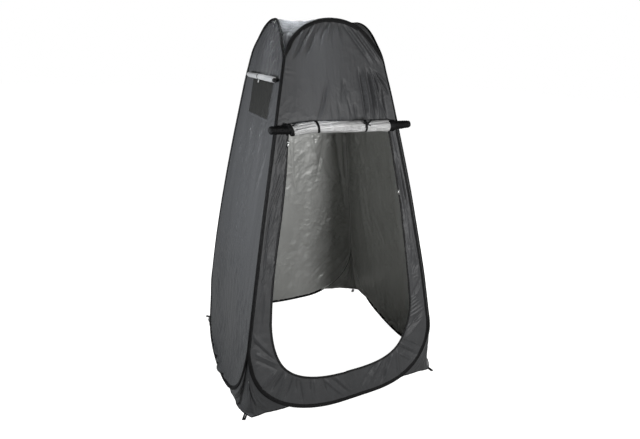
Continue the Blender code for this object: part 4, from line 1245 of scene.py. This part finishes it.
# Gussets. At each corner a piece of lined cloth fills the wedge between the two walls' bottom arcs and
# reaches the ground, with a black bound hem; it is held only at its tip, so it folds down from the join.
GUSSET_EDGE = 0.0040                 # from the wire out to where the gusset is sewn into the sleeves
GUSSET_END_HALF = 0.325
GUSSET_CELLS = (84, 36, 14)          # down from the join, from the wire to the corner and round the tip
HEM_Z = 0.0034
HEM_TAPE = (0.0024, 0.0055)          # thickness and height of the binding on the hem
CORNERS = {    # turn, the two ends of the blunt corner on the ground, and the peg loop's root and end
    "front_right": (0, ((0.563, -0.501), (0.616, -0.424)), ((0.566, -0.486), (0.576, -0.528))),
    "back_right": (90, ((0.612, 0.560), (0.574, 0.588)), ((0.580, 0.572), (0.556, 0.536))),
    "back_left": (180, ((-0.515, 0.556), (-0.556, 0.515)), ((-0.530, 0.532), (-0.562, 0.566))),
    "front_left": (270, ((-0.555, -0.406), (-0.504, -0.521)), ((-0.522, -0.476), (-0.548, -0.526))),
}


def turned(points, degrees):
    """Points turned about the tent's upright axis."""
    cos, sin = (round(f(math.radians(degrees))) for f in (math.cos, math.sin))
    x, y, z = np.moveaxis(points, -1, 0)
    return np.stack([x * cos - y * sin, x * sin + y * cos, z], -1)


def gusset_base(ground):
    """A gusset at rest, as it lies at the front right corner: each row runs from a point of the front
    wall's wire to one end of the blunt corner, along it with a slight bulge, and back to the right
    wall's wire, rows from the hem up. Ground holds the two ends of the corner on the ground."""
    outside = HALF_LOOP - across(HALF_LOOP) * GUSSET_EDGE * on_arcs(HALF_LOOP[:, 1:] * COS_LEAN)
    low = outside[(outside[:, 0] >= GUSSET_END_HALF) & (outside[:, 1] <= SEAM_BOTTOM_Z / COS_LEAN)]
    start = on_wall("front", *evenly(low, GUSSET_CELLS[0] + 1).T, 0.0)[:, None]
    drop = (start[-1:, :, 2:] - start[..., 2:]) / (start[-1, 0, 2] - start[0, 0, 2])
    x, y, z = (start[..., k:k + 1] for k in range(3))
    level = z + (HEM_Z - z) * drop
    middle = (x - y) / 2
    blunt = np.maximum((x + y) * -0.15 * (1 - drop), 0.0001)
    ends = [np.concatenate([middle - blunt, -middle, level], -1),
            np.concatenate([middle, blunt - middle, level], -1)]
    for end, place in zip(ends, ground):
        end[..., :2] += (place - end[..., :2]) * drop
    bulge = (ends[1] - ends[0])[..., (1, 0, 2)] * [0.06, -0.06, 0]
    t = np.linspace(0, 1, GUSSET_CELLS[1] + 1)[None, :-1, None]
    q = np.linspace(0, 1, GUSSET_CELLS[2] + 1)[None, :, None]
    tip = ends[0] + (ends[1] - ends[0]) * q + bulge * 4 * q * (1 - q)
    mirrored = start[..., (1, 0, 2)] * [-1, -1, 1]
    far = (mirrored + (ends[1] - mirrored) * t)[:, ::-1]
    return np.concatenate([start + (ends[0] - start) * t, tip, far], 1)


for number, (corner, (degrees, ground, _)) in enumerate(CORNERS.items()):
    base = gusset_base(turned(np.array([(*end, 0.0) for end in ground]), -degrees)[:, :2])
    outward = np.cross(np.gradient(base, axis=1), np.gradient(base, axis=0))
    outward[..., 2] = 0
    outward = unit(outward, least=1e-9)
    wide = np.stack([walked(row) for row in base])
    tall = np.stack([walked(column) for column in base.swapaxes(0, 1)], 1)
    flat_grid = np.stack([wide - wide[:, -1:] / 2, tall], -1)
    column = np.linspace(-1, 1, base.shape[1])[None]
    drop = np.linspace(1, 0, len(base))[:, None]
    from_wire = np.minimum(wide, wide[:, -1:] - wide)
    seed = 1000 + 10 * number
    fold = 0.0070 * swell(column * 2.6, drop * 0.7, seed) * drop ** 0.7
    fold += 0.0040 * (0.8 - 2 * np.abs(swell(column * 5.5, drop * 1.4, seed + 1))) * drop ** 0.5
    fold += 0.0008 * swell(column * 22, drop * 9, seed + 2)
    calm_hem = 1 - 0.6 * np.exp(-((1 - drop) / 0.12) ** 2)
    place = base + outward * (fold * ramp(from_wire, 0.030) * calm_hem)[..., None]
    place[..., 2] += 0.004 * np.sin(math.pi * np.abs(column)) ** 2 * drop ** 6
    place = turned(settled(place, 40), degrees)
    piece = cloth_piece(f"{corner}_corner_gusset", flat_grid, place, f"{corner}_gusset")

    run = tangents(place[0])
    upward = np.broadcast_to([0.0, 0.0, 1.0], run.shape)
    band = section_sweep(place[0], np.cross(run, upward), upward, rounded_section(*HEM_TAPE, 0.001))
    sewn_piece(f"{corner}_gusset_hem", [band], "sleeve_cloth", SLEEVE_CLOTH)

# Peg loops. A short flat loop of black webbing is sewn under the tip of each gusset for a ground peg.
PEG_LOOP_WIDTH = 0.0190
PEG_SLOT = (0.022, 0.0010)           # length and width of the gap between the two halves of the loop
PEG_ROOT = 0.014
TAPE_THICK = 0.0036
TAPE_RIM = (0.0, 0.12, 0.5, 0.88, 1.0, 0.88, 0.5, 0.12)      # the tape's section: how far from its outer edge
TAPE_RISE = (0.5, 0.93, 1.0, 0.93, 0.5, 0.07, 0.0, 0.07)     # to the slot, and how high


def rounded_loop(start, length, width, radius, count):
    """A rounded rectangle in plan, from start outwards, as a closed path of (x, y) points that begins
    at the middle of its far end."""
    far, near, side = start + length - radius, start + radius, width / 2 - radius
    angle = np.radians(np.linspace(0, 90, 7))
    corners = zip((far, near, near, far), (side, side, -side, -side), np.radians((0, 90, 180, 270)))
    points = [np.stack([x + radius * np.cos(angle + turn), y + radius * np.sin(angle + turn)], -1)
              for x, y, turn in corners]
    path = evenly(np.concatenate([*points, points[0][:1]]), count + 1)[:-1]
    return np.roll(path, -np.argmin(np.hypot(*(path - [start + length, 0]).T)), 0)


for number, (corner, (_, _, (root, end))) in enumerate(CORNERS.items()):
    length = math.dist(root, end)
    outer = rounded_loop(0.0, length, PEG_LOOP_WIDTH, 0.0040, 96)
    slot = rounded_loop(PEG_ROOT, *PEG_SLOT, 0.0007, 96)
    between = outer[:, None] + (slot - outer)[:, None] * np.array(TAPE_RIM)[None, :, None]
    x, y = np.moveaxis(between, -1, 0)
    z = 0.0004 + TAPE_THICK * np.array(TAPE_RISE) * (1 + 0.55 * ramp(0.011 - x, 0.002))
    z = z + (0.0010 + 0.0006 * swell(x * 90, y * 60, 1100 + number)) * ramp(x, 0.02)
    cos, sin = (np.array(end) - root) / length
    points = np.stack([x * cos - y * sin + root[0], x * sin + y * cos + root[1], z], -1)
    spread = np.stack(np.meshgrid(np.linspace(0, 0.1, 97), np.linspace(0, 0.011, 9), indexing="ij"), -1)
    sewn_piece(f"{corner}_peg_tape", [patch(points, spread, wrap_rows=True, wrap_columns=True)], "webbing",
               WEBBING, f"{corner}_peg_loop")

# Roof tabs. Two small doubled ends of webbing stand out of the sleeves at each upper corner, on the
# roof's side.
TAB_SECTION = (0.009, 0.0022, 0.0009)        # width, thickness and corner radius
TAB_LENGTH = 0.016
TAB_Z = 1.812


def webbing_tab(foot, out, side, bend):
    """A short flat tape that leaves the sleeve, bends over a little and ends rounded."""
    t = np.linspace(0, 1, 12)[:, None]
    path = foot + out * TAB_LENGTH * t + np.cross(side, out) * bend * t ** 2
    return section_sweep(path, np.broadcast_to(side, path.shape), np.cross(side, tangents(path)),
                         rounded_section(*TAB_SECTION))


here = np.abs(HALF_LOOP[:, 1] * COS_LEAN - TAB_Z).argmin()
along = unit(HALF_LOOP[here + 1] - HALF_LOOP[here])
tabs = []
for wall in WALLS:
    u_way, v_way, n_way = wall_frame(wall)
    for sign in (-1, 1):
        side = u_way * along[0] * sign + v_way * along[1]
        foot = on_wall(wall, HALF_LOOP[here, 0] * sign, HALF_LOOP[here, 1], -0.004)
        tabs.append(webbing_tab(foot, -n_way * 0.55 + v_way * 0.83, side, 0.002 * sign))
sewn_piece("roof_tabs", tabs, "webbing", WEBBING)

# Floor, light and camera. A white sweep that only shows as white, under six soft boxes: one in front that
# also looks in at the door, two on the left, one behind, one on the right and a gridded one over the roof.
floor_mesh = bpy.data.meshes.new("floor")
floor_mesh.from_pydata([(-20, -20, 0), (20, -20, 0), (20, 20, 0), (-20, 20, 0)], [], [(0, 1, 2, 3)])
floor = bpy.data.objects.new("floor", floor_mesh)
bpy.context.scene.collection.objects.link(floor)
FLOOR_WHITE, tree, shader = new_material("white floor")
seen = add_node(tree, "ShaderNodeLightPath").outputs["Is Camera Ray"]
fill(tree, shader, {"Base Color": (0.30, 0.30, 0.29, 1), "Roughness": 0.9, "Emission Color": (1, 1, 1, 1),
                    "Emission Strength": seen})
floor_mesh.materials.append(FLOOR_WHITE)

world = bpy.data.worlds.new("white room")
world.use_nodes = True
tree = world.node_tree
seen = add_node(tree, "ShaderNodeLightPath").outputs["Is Camera Ray"]
fill(tree, tree.nodes["Background"], {0: (1, 1, 1, 1), 1: fitted(tree, seen, 0.0, 1.0, 0.10, 1.0)})
bpy.context.scene.world = world
bpy.context.scene.view_settings.view_transform = "Standard"
COOL = (0.94, 0.97, 1.0)
SOFT_BOXES = {    # target, degrees round it and above level, distance, size, watts, tint and beam in degrees
    "front_box": ((0, 0, 0.95), 12, 10, 2.9, 0.5, 62, (1, 1, 1), 180),
    "left_box": ((0, 0, 1.00), -75, 8, 2.2, 0.7, 20, COOL, 180),
    "near_left_box": ((-0.35, 0, 1.30), -88, 0, 1.2, 0.4, 22, COOL, 180),
    "roof_box": ((-0.10, -0.10, 1.86), -45, 88, 1.2, 0.20, 2.5, (0.92, 0.96, 1.0), 16),
    "back_box": ((0, 0, 0.95), 165, 18, 3.0, 1.2, 75, (1, 1, 1), 180),
    "right_box": ((0, 0, 0.95), 100, 10, 3.0, 1.0, 55, (1, 1, 1), 180),
}


def backward(azimuth, elevation):
    """The unit vector from a target to what looks at it, from these angles round it and above level."""
    return np.array([math.sin(azimuth) * math.cos(elevation), -math.cos(azimuth) * math.cos(elevation),
                     math.sin(elevation)])


for name, (target, azimuth, elevation, distance, size, watts, tint, beam) in SOFT_BOXES.items():
    a, e = math.radians(azimuth), math.radians(elevation)
    data = bpy.data.lights.new(name, "AREA")
    data.size = size
    data.energy = watts
    data.color = tint
    data.spread = math.radians(beam)
    lamp = bpy.data.objects.new(name, data)
    lamp.location = np.array(target) + backward(a, e) * distance
    lamp.rotation_euler = (math.pi / 2 - e, 0, a)
    lamp.visible_camera = False
    bpy.context.scene.collection.objects.link(lamp)

CAMERA_PLACE = (-0.979, -2.4972, 1.7595)
CAMERA_TURN = -25.0442      # degrees round from looking along +Y
CAMERA_DROP = 19.4          # degrees below level
CAMERA_ROLL = 2.6606
camera_data = bpy.data.cameras.new("camera")
camera_data.lens = 27.58
camera_data.sensor_width = 36
camera_data.shift_x, camera_data.shift_y = (-0.0340, 0.0054)
camera = bpy.data.objects.new("camera", camera_data)
a, e, r = (math.radians(x) for x in (CAMERA_TURN, CAMERA_DROP, CAMERA_ROLL))
back = backward(a, e)
right = unit(np.cross(-back, [0, 0, 1]))
up = np.cross(back, right)
right, up = right * math.cos(r) + up * math.sin(r), up * math.cos(r) - right * math.sin(r)
pose = np.eye(4)
pose[:3, :3] = np.stack([right, up, back], 1)
pose[:3, 3] = CAMERA_PLACE
camera.matrix_world = [list(row) for row in pose.T]
bpy.context.scene.collection.objects.link(camera)
bpy.context.scene.camera = camera
